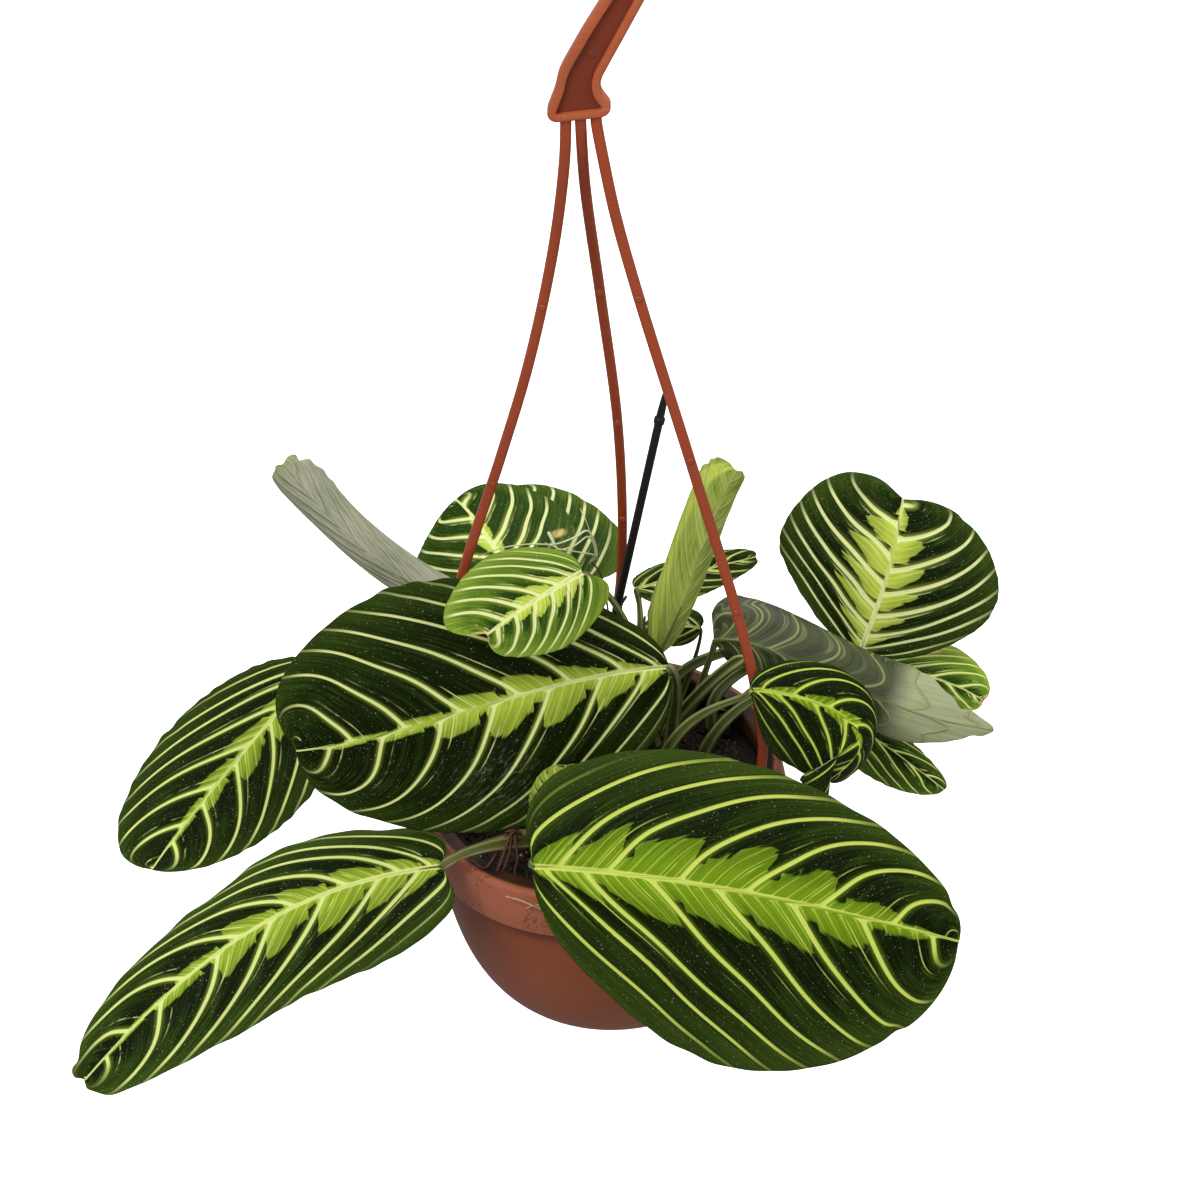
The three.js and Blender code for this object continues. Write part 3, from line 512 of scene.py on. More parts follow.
class Finish:
    """A material with one shader; node is the one way in which nodes are added."""

    def __init__(self, name, rough=.5, **constants):
        self.material = bpy.data.materials.new(name)
        self.material.use_nodes = True
        self.tree = self.material.node_tree
        self.tree.nodes.clear()
        output = self.tree.nodes.new("ShaderNodeOutputMaterial")
        self.shader = self.tree.nodes.new("ShaderNodeBsdfPrincipled")
        self.tree.links.new(self.shader.outputs[0], output.inputs[0])
        self.shader.inputs["Roughness"].default_value = rough
        for key, value in constants.items():
            self.shader.inputs[key.replace("_", " ")].default_value = value
        self.place = self.node("ShaderNodeTexCoord", out="Object")

    def node(self, kind, settings=None, sockets=None, out=0):
        made = self.tree.nodes.new(kind)
        for key, value in (settings or {}).items():
            setattr(made, key, value)
        for key, value in (sockets or {}).items():
            if isinstance(value, Wire):
                self.tree.links.new(value.socket, made.inputs[key])
            else:
                made.inputs[key].default_value = value
        return Wire(self, made.outputs[out])

    def kept(self, name):
        """The three numbers of a value kept at the points."""
        vector = self.node("ShaderNodeAttribute", dict(attribute_name=name), out="Vector")
        return [self.node("ShaderNodeSeparateXYZ", {}, {0: vector}, out=k) for k in range(3)]

    def noise(self, scale, detail=3, rough=.55, at=None):
        """Noise over the object, or at three numbers or another vector."""
        vector = self.node("ShaderNodeCombineXYZ", {}, dict(enumerate(at))) if isinstance(at, tuple) else at
        return self.node("ShaderNodeTexNoise", {}, {"Vector": vector or self.place, "Scale": scale,
                                                    "Detail": detail, "Roughness": rough})

    def mix(self, first, second, factor):
        """Two colours mixed, the factor held from 0 to 1; three numbers are a screen colour."""
        first, second = (linear(*c) if isinstance(c, tuple) and len(c) == 3 else c for c in (first, second))
        return self.node("ShaderNodeMix", dict(data_type="RGBA"), {0: factor, 6: first, 7: second}, out=2)

    def paint(self, **inputs):
        for key, value in inputs.items():
            self.tree.links.new(value.socket, self.shader.inputs[key.replace("_", " ")])
        return self.material

    def relief(self, height, depth):
        """Bumps of a depth in metres where the height is one."""
        return self.node("ShaderNodeBump", {}, {"Strength": 1.0, "Distance": depth, "Height": height})


def vein_values(f):
    """The kept values that both faces of a leaf read, then the share of the way from one main vein to the next,
    and that to the nearest."""
    phase, across, start = f.kept("veins")
    aside, spacing, seed = f.kept("place")
    share = phase.part()
    return phase, across, start, aside, spacing, seed, share, share.least(1 - share)


def blade_finish(name, dark, middle, rim, band, vein):
    """The leaf's upper face. With f the share of the way from one main vein to the next, the lime band
    beside the midrib rises to a tooth at f = 0.7 and drops back until the next vein. Beyond it near-black
    green turns to mid green at the edge, streaked along the veins; veins and midrib are lime lines."""
    f = Finish(name, Specular_IOR_Level=.035)
    phase, across, start, aside, spacing, seed, share, nearest = vein_values(f)
    dry, painted_sheen, wide = f.kept("wear")
    pale, teeth, cream = f.kept("tone")
    strong, _, along = f.kept("line")
    grain, patch, specks = f.noise(900, 2), f.noise(32), f.noise(1500, 1)
    streak = f.noise(1, 4, .62, (phase * 9, across * 1.6, seed))
    fine = f.noise(1, 2, .6, (phase * 48, across * 3, seed + 7))
    wander = f.noise(1, 2, at=(phase * 2.6, across * 5, seed + 3))
    sheen_streaks = f.noise(2, 5, .7, (phase * 5, across * 9, seed + 11))
    # The band's edge, in shares of the half width.
    small = (phase * 5 + wander * 1.5).part()
    leant = (phase + across * 1.2 - .34 + (wander - .5) * .12).part()
    tooth = 1 - teeth * .62 + leant.ease(0, .72) * teeth * .62 - leant.ease(.8, .84) * teeth
    edge = wide * (tooth + small * .08 + (wander - .5) * .5)
    inside = across / edge.most(.02)
    # The lines: midrib, main veins, and thin veins between them.
    vein = f.mix(vein, (232, 238, 172), cream)
    width = ((1.25 - across * .5) * strong).least(spacing * .13)
    metric = nearest * spacing
    main = (1 - metric.ease(width * .45, width * 1.1)) * (1 - across.ease(.8, 1) * .75) * start.ease(-.36, -.2)
    main = main * (1 - along.ease(.9, 1) * across.ease(.08, .4) * .95)
    second = (share - .76).size() * spacing
    second = (1 - second.ease(.08, .4)) * (1 - across.ease(.3, .62)) * wander.ease(.4, .6)
    third = 1 - (((phase * 5).part() - .5).size() * spacing / 5).ease(.12, .5)
    rib_width = (1.4 - start * .9).most(.35) * strong
    rib = 1 - aside.ease(rib_width * .7, rib_width * 1.1)
    groove = (1 - aside.ease(.1, .4)) * (1 - start)
    # The colours, from the ground up.
    beyond = (across - edge).ease(.02, .5)
    ground = f.mix(dark, middle, beyond * pale + (streak - .5) * 1.9 + (patch - .5) * .8 - .1)
    ground = f.mix(ground, rim, across.ease(.6, 1.04) * pale * .75
                   + streak.ease(.6, .8) * patch.ease(.5, .66) * .8
                   + fine.ease(.46, .7) * (beyond * .7 * pale + .12))
    band = f.mix(band, (206, 220, 84), cream * cream)
    inner = f.mix(band, middle, fine.ease(.42, .66) * .34 + inside.ease(.2, 1.1) * .36)
    inner = f.mix(inner, f.mix(vein, (196, 214, 62), .6), third * .6 * (1 - inside * .6))
    colour = f.mix(ground, inner, (edge - across) * 60 + .5)
    colour = f.mix(colour, vein, second * .7)
    colour = f.mix(colour, band, (1 - metric.ease(width * .8, width * 2.6)) * .3 * (1 - across.ease(.2, .7)))
    colour = f.mix(colour, vein, main.most(rib) * .95)
    colour = f.mix(colour, band, groove * .6)
    # Painted sheen: a pale grey streaky patch on one half of the leaf, where it would catch the light.
    colour = f.mix(colour, (150, 158, 132), painted_sheen * sheen_streaks.ease(.5, .72) * .5)
    colour = f.mix(colour, (196, 204, 170), specks.ease(.7, .76) * .45)
    burnt = (dry + (patch - .5) * .35 + (grain - .5) * .1).ease(.35, .6)
    colour = f.mix(colour, f.mix((208, 184, 116), (140, 98, 54), streak.ease(.46, .66)), burnt)
    height = (nearest * 2) ** .5 * .6 + fine * .16 + third * -.1 + grain * .05 + groove * -.3
    return f.paint(Base_Color=colour, Roughness=.4 + grain * .1 + burnt * .25 + main * .08,
                   Normal=f.relief(height, .001))


def underside_finish(name, ground, shade, vein, lines, lip, along=1.5, keel=1.0):
    """The leaf's lower face: pale, with raised veins, faint arcs along them and streaks along the leaf."""
    f = Finish(name, Specular_IOR_Level=.3)
    phase, across, _, aside, spacing, seed, _, nearest = vein_values(f)
    dry, painted_sheen, _ = f.kept("wear")
    metric = nearest * spacing
    grain, patch = f.noise(1100, 2), f.noise(40)
    arcs = f.noise(1, 4, .65, (phase * 13, across * 1.6, seed))
    streak = f.noise(2, 5, .7, (phase * .35, aside * .35, seed + 5))
    second = f.noise(1, 1, at=(phase * 4, across, seed + 9))
    main = 1 - metric.ease(.2, .95)
    rib = (1 - aside.ease(.7, 1.5)) * keel
    colour = f.mix(ground, shade, arcs.ease(.38, .64) * .6 + (patch - .5) * .9 + (streak - .5) * along
                   + (metric.ease(.5, 5) - .5) * .3 + .12)
    # The same patch of painted sheen, in a paler colour, on the lower face.
    colour = f.mix(colour, (182, 182, 148), painted_sheen * (.5 + arcs * .6))
    colour = f.mix(colour, lip, f.kept("line")[1] * (.35 + streak * .8))
    colour = f.mix(colour, vein, main.most(rib) * lines)
    colour = f.mix(colour, vein, second.ease(.56, .62) * (1 - second.ease(.62, .7)) * lines * .5)
    colour = f.mix(colour, (120, 92, 56), (dry + (patch - .5) * .35).ease(.35, .6))
    return f.paint(Base_Color=colour, Roughness=.4 + grain * .12,
                   Normal=f.relief(main * .5 + arcs * .35 + streak * .3 + grain * .06, .0009))


def stalk_finish(name, green, pale, brown, rough=.5):
    """Stalks: lengthwise ribs and streaks from the kept length and angle, browner at foot and joint, pale lines
    along the groove's edges and painted shade in its floor.
    """
    f = Finish(name, rough=rough, Specular_IOR_Level=.2)
    length, turn, tint = f.kept("stalk")
    sine, cosine = (turn * math.tau).math("SINE"), (turn * math.tau).math("COSINE")
    blotch = f.noise(90, 4)
    lines = f.noise(1, 3, at=(length * .05, sine * 5, cosine * 5))
    ridge = f.noise(2, 2, at=(length * .02, sine * 2.2, cosine * 2.2))
    top = (turn - .25).size()
    # top is how far round from a quarter turn, the groove's middle on leaf stalks; lip is a pale line along each
    # edge of the groove, and deep a strip of painted shade along the groove's floor.
    lip, deep = 1 - (top - .115).size().ease(.012, .05), 1 - top.ease(.02, .09)
    colour = f.mix(green, pale, lines.ease(.46, .7) * .6 + ridge.ease(.5, .66) * .4 + lip * .7 - deep * .5)
    colour = f.mix(colour, brown, blotch - .5 + tint * 1.4)
    return f.paint(Base_Color=colour, Normal=f.relief(lines * .7 + blotch * .3, .0006))


def plastic_finish(name, body, pale, deep, rough, dust, ring=False):
    """Moulded plastic: fine stipple, slow colour drift, light scuffs and a little dust. On the pot the
    collar is paler, partly its own more orange tone and partly painted light; the neck under it carries a
    painted shadow, its inner wall and ledge are darkened to near black, and thin cracks cross the rim."""
    f = Finish(name, Specular_IOR_Level=.24)
    scuffs = f.noise(60, 6, .7, f.node("ShaderNodeMapping", {}, {"Vector": f.place, "Scale": (1, 1, 6)}))
    colour = f.mix(body, deep, f.noise(14).ease(.35, .7) * .55)
    colour = f.mix(colour, pale, scuffs.ease(.56, .78) * dust)
    colour = f.mix(colour, (196, 178, 160), f.noise(700, 2).ease(.7, .8) * dust * .8)
    height = f.noise(2600, 2) * .5 + scuffs * .3
    if ring:
        level, radius, inside = f.kept("ring")
        patch = f.noise(55, 4)
        collar = level.ease(-21.6, -20.8) * radius.ease(73, 74.5)
        neck = level.ease(-33, -25) * (1 - level.ease(-21, -20.8)) * (1 - inside)
        crack = 1 - (f.noise(48, 4, .7) - .5).size().ease(.001, .007)
        crack = crack * patch.ease(.54, .6) * collar
        # The collar painted paler: partly the collar's own more orange tone, partly painted light on the rim.
        colour = f.mix(colour, pale, collar * .75)
        # Painted shadow on the neck under the collar's overhang.
        colour = f.mix(colour, (58, 30, 22), neck * (.35 + patch * .7))
        # The inner wall and ledge darkened to near black.
        colour = f.mix(colour, (24, 17, 12), inside * (.35 + patch))
        colour = f.mix(colour, (66, 32, 22), crack * .5)
        height = height - crack * 3 + patch * collar * 1.2
    return f.paint(Base_Color=colour, Roughness=rough - .06 + scuffs * .16, Normal=f.relief(height, .00018))


def grain_finish(name, first, second, scale, rough, depth=.0008):
    """Crumbs, chips and dry bits: two colours through noise, and rough to match."""
    f = Finish(name, rough=rough)
    coarse, fine = f.noise(scale, 5, .65), f.noise(scale * 6)
    return f.paint(Base_Color=f.mix(first, second, coarse.ease(.38, .66)),
                   Normal=f.relief(coarse * .6 + fine * .4, depth))


def looks():
    """What each finish is made by and of: the panel's colours, screen colours and strengths."""
    plant, pot = bpy.context.scene.plant_look, bpy.context.scene.pot_look
    dark, middle, band, vein, silver, body, hook = (tuple(c) + (1.0,) for c in (
        plant.dark, plant.middle, plant.band, plant.vein, plant.silver, pot.pot, pot.hanger))
    return {
        "leaf green": (blade_finish, dark, middle, (82, 108, 32), band, vein),
        "leaf lime": (blade_finish, (24, 52, 3), (88, 124, 26), (146, 172, 60), (162, 190, 56), (208, 222, 110)),
        "underside silver": (underside_finish, silver, (98, 106, 76), (186, 188, 160), .14, (150, 170, 78)),
        "underside olive": (underside_finish, (70, 78, 44), (38, 46, 20), (144, 152, 96), .8, (176, 180, 138),
                            .4, .2),
        "underside young": (underside_finish, (172, 188, 84), (98, 122, 36), (198, 208, 122), .2,
                            (204, 220, 86)),
        "stalk green": (stalk_finish, (84, 98, 42), (158, 162, 108), (104, 84, 46)),
        "stalk brown": (stalk_finish, (96, 44, 32), (134, 84, 58), (52, 24, 20), .65),
        "root": (stalk_finish, (98, 62, 48), (134, 96, 74), (50, 32, 26), .7),
        "thread": (stalk_finish, (216, 222, 172), (240, 242, 212), (170, 176, 110)),
        "straw": (stalk_finish, (220, 176, 130), (236, 208, 170), (150, 110, 74), .7),
        "pot plastic": (plastic_finish, body, (172, 100, 72), (108, 54, 34), .5, .25, True),
        "hanger plastic": (plastic_finish, hook, (190, 108, 76), (140, 58, 34), .32, .22),
        # The hook's wall and web are the hanger's plastic painted lighter and darker: painted highlight on the
        # wall's lit faces, painted shade in the web's recess between the walls.
        "hook wall": (plastic_finish, (184, 96, 60), (222, 146, 108), (150, 72, 42), .3, .6),
        "hook web": (plastic_finish, (128, 55, 32), (150, 78, 52), (96, 40, 24), .42, .3),
        "stake plastic": (plastic_finish, (24, 24, 26), (70, 68, 66), (12, 12, 14), .38, .2),
        "peat": (grain_finish, (13, 10, 7), (46, 33, 22), 330, .95, .0016),
        "crumb": (grain_finish, (20, 15, 10), (92, 66, 44), 120, .95),
        "perlite": (grain_finish, (206, 200, 186), (150, 140, 122), 500, .85),
    }


FINISHES = {}


def finish(name):
    """A material by name, made once."""
    if name not in FINISHES:
        maker, *values = looks()[name]
        FINISHES[name] = maker(name, *values)
    return FINISHES[name]


# ---------------------------------------------------------------- the leaves

def lagrange(points, t):
    """The cubic through four points at a third of the way each."""
    a, b, c = t, t - 1 / 3, t - 2 / 3
    d = t - 1
    weights = grouped(-4.5 * b * c * d, 13.5 * a * c * d, -13.5 * a * b * d, 4.5 * a * b * c)
    return weights @ np.asarray(points, float)


def blade_shape(u, widest, fullness):
    """The half width's share along the leaf: a sine whose peak is moved to widest, to a power."""
    power = math.log(.5) / math.log(widest)
    return np.maximum(np.sin(math.pi * np.clip(u, 0, 1) ** power), 0) ** fullness


def slope(points, value):
    """How fast a value changes per millimetre over a grid of points: the length of its gradient, from
    the differences along both grid directions and the lengths and angle between them."""
    pu, pw = np.gradient(points, axis=0), np.gradient(points, axis=1)
    fu, fw = np.gradient(value, axis=0), np.gradient(value, axis=1)
    e, f, g = (np.einsum("ijk,ijk->ij", a, b) for a, b in ((pu, pu), (pu, pw), (pw, pw)))
    return np.sqrt(np.maximum(g * fu ** 2 - 2 * f * fu * fw + e * fw ** 2, 0) / np.maximum(e * g - f * f, 1e-6))


def leaf_blade(leaf, number, rows, columns):
    """The blade as two skins on a grid of u, from base to tip, and w, from edge to edge. Each row is an
    arc about the midrib with the leaf's curl; veins are pressed in, the lamina rises between them, and
    the edge ripples. A vein leaves the midrib at start_at, at about 45 degrees, and bends towards
    the tip as it nears the edge; veins crowd at the base. Kept values: veins (phase, |w|, start_at), place
    (mm from the midrib, mm from vein to vein, seed), wear (dry, painted sheen, band width), tone (how light
    the edge is, how deep the teeth are, how creamy the veins are) and line (vein width, pale lip, u)."""
    def either(pair):
        return np.where(right, pair[1], pair[0])

    widest, fullness = leaf.get("widest", (.46, .46)), leaf.get("fullness", .52)
    amount, count, start = leaf.get("wave", (0, 0, 0))
    u = (1 - np.cos(np.linspace(0, math.pi, rows))) / 2
    u = .35 * u + .65 * np.linspace(0, 1, rows)
    rib = lagrange(leaf["rib"], u)
    way = unit(np.gradient(rib, u, axis=0))
    face = np.asarray(leaf["face"], float)
    normal = face[0] * (1 - u[:, None]) + face[1] * u[:, None]
    normal = unit(normal - way * np.einsum("ij,ij->i", normal, way)[:, None])
    side = np.cross(way, normal)
    length = float(np.linalg.norm(np.diff(rib, axis=0), axis=1).sum())
    w = np.sin(np.linspace(-math.pi / 2, math.pi / 2, columns)) * .3 + np.linspace(-1, 1, columns) * .7
    W, U = np.meshgrid(w, u)
    right, across = (W > 0).astype(int), np.abs(W)
    shape = either([blade_shape(U, peak, fullness) for peak in widest])
    half = either(leaf["half"])
    turn = np.radians(either(leaf["curl"])) / half
    turn = turn * (1 - leaf.get("opens", 0) * ease(U, .6, 1))
    shape = shape * (1 - leaf.get("point", 0) * ease(U, .6, 1))
    reach = np.maximum(half * shape, .7) * across
    angle = turn * reach
    out, drop = np.sin(angle) / turn, (1 - np.cos(angle)) / turn
    wave = amount * W ** 2 * shape * np.sin(math.tau * (count * U + start + .25 * right))
    low, high = either(leaf["lobe"][:2]), either(leaf["lobe"][2:])
    lobe = (high * U ** 6 - low * (1 - U) ** 6) * W ** 2 * shape
    lobe = lobe + leaf.get("drape", 0) * ease(U, .3, .68) * (1 - ease(U, .84, 1)) * W ** 2 * right
    sweep = leaf.get("sweep", .36) * across ** either((3.1, 2.6))
    lean = leaf.get("lean", (1, 1))
    steep = either((.82 * lean[0], 1.1 * lean[1]))
    bow = leaf.get("bow", 0) * np.sin(math.pi * np.clip(across / .55, 0, 1))
    start_at = U + lobe / length - (reach / length * steep + sweep + bow) * (1 - .6 * U ** 4)
    crowded = .16 * np.exp(-np.maximum(start_at, 0) / .06) * (1 - across) ** 1.3
    phase = leaf["veins"] * .8 * (start_at - crowded) + .42 * right + 20
    phase = phase + .045 * ripple(U * 2, W, number)
    share = phase % 1
    near = np.minimum(share, 1 - share) * 2
    scale = min(length / FULL_LENGTH, 1)
    quilt = (QUILT * scale * (np.sqrt(near) - .6) * np.clip(reach / 6, 0, 1) * (1 - .6 * across ** 4)
             * (1 - ease(U, .88, 1)))
    ruffle = RUFFLE * scale * W ** 4 * shape * ripple(U * 1.4 + right * 3.1, W * .1, number + 50)
    valley = -VALLEY * scale * bell(reach, 0, 2.2) * (1 - U)
    sign = np.where(W > 0, 1.0, -1.0)[..., None]
    n, s, t, p = normal[:, None], side[:, None], way[:, None], rib[:, None]
    jag = JAG * scale * across ** 12 * ripple(U * 9, right * 2.0, number + 90)
    for at, way_out, deep in leaf.get("bites", ()):
        jag = jag - deep * bell(U, at, .016) * W ** 6 * (np.sign(W) == way_out)
    middle = (p + s * sign * (out + jag)[..., None] + n * (wave + quilt + ruffle + valley - drop)[..., None]
              + t * lobe[..., None])
    skin = n * np.cos(angle)[..., None] + s * sign * np.sin(angle)[..., None]
    thick = (SKIN - SKIN_LOSS * across ** 3)[..., None]
    ridge = (RIDGE * bell(reach, 0, 1.7) * (1 - .75 * U) * np.clip(scale * 1.3, .5, 1))[..., None]
    dry = leaf.get("dry", 0)
    burnt = (ease(U, 1 - 2.2 * dry, 1) if dry else 0 * U) + .35 * ease(across, .985, 1)
    for at, beside, size in leaf.get("spots", ()):
        burnt = burnt + .62 * bell(U, at, size) * bell(W, beside, 2.2 * size)
    # Painted sheen: a pale streaky patch on the left half, halfway along the leaf.
    painted_sheen = leaf.get("painted_sheen", 0) * ease(-W, .2, .5) * bell(U, .5, .1) * (1 - ease(-W, .7, .9))
    spacing = 1 / np.maximum(slope(middle, phase), .02)
    long = leaf.get("long", .12)
    wide = (leaf["band"] * either((1.1, .78)) * ease(start_at, -.13, -.01)
            * (1 - .78 * ease(start_at, .26 + long, .8 + long)) * (1 - ease(start_at, .88, 1)))
    way_out, inner, outer, low = leaf.get("gleam", (0, .8, 1.2, .2))
    lip = (ease(across, inner, inner + .12) * (1 - ease(across, outer, outer + .12))
           * ease(U, low, low + .1) * (W * way_out >= 0))
    kept = dict(veins=(phase, across, start_at), place=(reach, spacing, number * 1.7), wear=(burnt, painted_sheen, wide),
                tone=leaf.get("tone", (.45, .62, .4)), line=(leaf.get("line", 1), lip, U))
    kept = {key: np.tile(grouped(*value, U)[..., :3].reshape(-1, 3), (2, 1)) for key, value in kept.items()}
    upper, under = row(middle + skin * thick), row(middle - skin * (thick + ridge))
    number_of = np.arange(rows * columns).reshape(rows, columns)
    a, b, c, d = number_of[:-1, :-1], number_of[:-1, 1:], number_of[1:, 1:], number_of[1:, :-1]
    top = grouped(a, b, c, d).reshape(-1, 4)
    rest = rows * columns
    edge = np.concatenate([number_of[0, :-1], number_of[:-1, -1], number_of[-1, :0:-1], number_of[:0:-1, 0]])
    after = np.roll(edge, -1)
    wall = grouped(edge, edge + rest, after + rest, after)
    blade = Surface(np.stack([upper, under]), np.vstack([top, top[:, ::-1] + rest, wall]), **kept)
    blade.slots[0][len(top):2 * len(top)] = 1
    return blade, rib, normal


def stalk_of(leaf, rib, normal):
    """The stalk: a cubic from the soil through the stalk's points to the blade, a sheath that narrows,
    a swollen joint before the blade, and a thin end under the midrib."""
    x, y = leaf["foot"]
    level = soil_height(x)
    thick = leaf.get("thick", 1.0)
    t = np.linspace(0, 1, 46)
    route = lagrange([(x, y, level + FOOT_RISE), *leaf["stalk"], leaf["rib"][0]], t)
    below = np.array([[x, y, level - FOOT_DEPTH], [x, y, level - 3], [x, y, level + .5]])
    k = max(int(len(rib) * .3), 4)
    along = np.linspace(0, 1, k)
    tail = rib[1:k + 1] - normal[1:k + 1] * (1.9 - .6 * along)[:, None]
    size = (FOOT_RADIUS + (TOP_RADIUS - FOOT_RADIUS) * np.sqrt(t)) * thick * (1 + .5 * (1 - ease(t, .3, .75)))
    size = size * (1 + .16 * bell(t, .93, .045)) * (1 - .1 * bell(t, .84, .02))
    path = np.vstack([below, route[:-1], tail])
    radius = np.concatenate([[FOOT_RADIUS * thick] * 3, size[:-1], (1.0 - .75 * along) * thick])
    deep = np.concatenate([[.3] * 3, .3 * (1 - ease(t[:-1], .55, .8)), 0 * along])
    stalk = tube(path, radius, 24, reference=(-.25, -.8, .5), slot=2, ridges=(5, .04, .6), groove=deep)
    share = np.linspace(0, 1, len(stalk.points))
    joint = (bell(share, .62, .05) + bell(share, 0, .08)) * .5
    stalk.values["stalk"][:, 2] = joint - .12 + leaf.get("tint", 0)
    return stalk


def build_leaf(name, number):
    """One leaf: its blade and its stalk, standing for the leaf's node."""
    leaf = LEAVES[name]
    grid = next(grid for wide, grid in GRIDS.items() if max(leaf["half"]) > wide)
    upper, under, slot = SKINS[leaf.get("skin", "green")]
    blade, rib, normal = leaf_blade(leaf, number, *leaf.get("grid", grid))
    piece(name + "_fine", [blade, stalk_of(leaf, rib, normal)],
          [finish(leaf.get("upper", upper)), finish(under), finish("stalk green")], [name])


# ---------------------------------------------------------------- pot, soil, hanger and stake

def bowl_radius(z):
    """Outer radius of the bowl at a height, with the neck behind the collar."""
    s = np.minimum((z + POT_HEIGHT) / (POT_HEIGHT - COLLAR_HEIGHT), 1)
    neck = ease(z, -COLLAR_HEIGHT, -LEDGE)
    wide = BASE_RADIUS + (BOWL_RADIUS - BASE_RADIUS) * np.sqrt(np.maximum(1 - (1 - s) ** 3, 0))
    return (wide - neck * (BOWL_RADIUS - RIM_RADIUS + LEDGE - NECK_DRAWN_IN)
            - NECK_DRAWN_IN * ease(z, -46, -24) * (1 - neck))


def spun(profile, sides):
    """Rings of points: a profile of radius and height carried round the upright axis."""
    angle = np.linspace(0, math.tau, sides, endpoint=False)
    r, z = np.asarray(profile, float).T[:, :, None]
    return grouped(r * np.cos(angle), r * np.sin(angle), z)


def mark_ring(mesh, wall):
    """Keep at the pot's points: height and radius in millimetres in its own frame, and one if inside."""
    points = np.empty(len(mesh.vertices) * 3)
    mesh.vertices.foreach_get("co", points)
    x, y, z = (points.reshape(-1, 3) * 1000 + (0, 0, RIM_BELOW_HOOK)).T
    c, s = math.cos(POT_TILT), math.sin(POT_TILT)
    r, h = np.hypot(x * c - z * s, y), x * s + z * c
    inside = np.where(h < -LEDGE, (r < bowl_radius(h) - wall / 2) & (h > wall / 2 - POT_HEIGHT),
                      r < RIM_RADIUS - 3)
    keep(mesh, "ring", grouped(h, r, inside))


def arc(centre, radius, start, end, steps=6):
    """Points of a circle's arc in radius and height, angles in degrees."""
    a = np.radians(np.linspace(start, end, steps))
    return grouped(centre[0] + radius * np.cos(a), centre[1] + radius * np.sin(a))


def cut(thing, path, radius, sides=28):
    """Take a round bar out of a piece and keep the result as its mesh."""
    bar = new_mesh("bar", tube(path, radius, sides, reference=(0, 1, 0), round_ends=False), False)
    tool = in_scene("bar", bar)
    step = thing.modifiers.new("hole", "BOOLEAN")
    step.operation, step.solver, step.object = "DIFFERENCE", "EXACT", tool
    result = bpy.data.meshes.new_from_object(thing.evaluated_get(bpy.context.evaluated_depsgraph_get()))
    thing.modifiers.clear()
    old, thing.data = thing.data, result
    bpy.data.objects.remove(tool)
    for mesh in (old, bar):
        bpy.data.meshes.remove(mesh)


class Operator(bpy.types.Operator):
    """Shared settings of this plant's operators."""
    bl_options = {"REGISTER", "UNDO"}


class PLANT_OT_pot(Operator):
    """Make the moulded pot with its collar, drain holes and strand holes"""
    bl_idname = "plant.pot"
    bl_label = "Pot"

    def execute(self, context):
        wall = context.scene.pot_look.wall * 1000
        inner = RIM_RADIUS - LEDGE
        skirt = RIM_RADIUS + 2.1
        z = -POT_HEIGHT + (POT_HEIGHT - LEDGE) * np.linspace(0, 1, 34) ** 1.25
        outside = grouped(bowl_radius(z), z)
        zi = -POT_HEIGHT + wall + (POT_HEIGHT - LEDGE - wall) * np.linspace(0, 1, 30) ** 1.25
        inside = grouped(bowl_radius(zi - wall) - wall, zi)
        profile = np.vstack([
            [(4, -POT_HEIGHT), (20, -POT_HEIGHT), (26, -POT_HEIGHT), (40, -POT_HEIGHT)],
            arc((46.6, -POT_HEIGHT + 1.4), 1.4, -90, -20, 4), outside[2:-1],
            [(inner + wall, -LEDGE), (inner + wall, -wall - 1)],
            arc((inner + wall + 1, -wall - 1), 1, 180, 90, 4),
            [(RIM_RADIUS - wall - 1, -wall)], arc((RIM_RADIUS - wall - 1, -wall - 1), 1, 90, 8, 4),
            [(skirt - wall, -COLLAR_HEIGHT + .6)],
            arc((skirt - wall / 2, -COLLAR_HEIGHT + 1.0), 1.08, 190, 350, 7),
            [(RIM_RADIUS + 1.2, -11)], arc((RIM_RADIUS - 2.2, -2.2), 2.2, 4, 90, 7),
            [(RIM_RADIUS - 3.6, 0), (inner + 4.5, 0)], arc((inner + 1.4, -1.4), 1.4, 90, 180, 6),
            inside[::-1], [(24, -POT_HEIGHT + wall), (4, -POT_HEIGHT + wall)]])
        thing = piece("pot_fine", [loops(row(tilted(spun(profile, 160))))], [finish("pot plastic")],
                      ["pot"], 38)
        holes = [(math.tau * k / 6, 30, -POT_HEIGHT - 2, -POT_HEIGHT + wall + 2, 4) for k in range(6)]
        holes += [(math.radians(a), STRAND_CIRCLE, -wall - 1.5, 2, 2.75) for a in STRAND_ANGLES.values()]
        for a, circle, low, high, radius in holes:
            cut(thing, tilted([(circle * math.cos(a), circle * math.sin(a), h) for h in (low, high)]), radius)
        mark_ring(thing.data, wall)
        return {"FINISHED"}


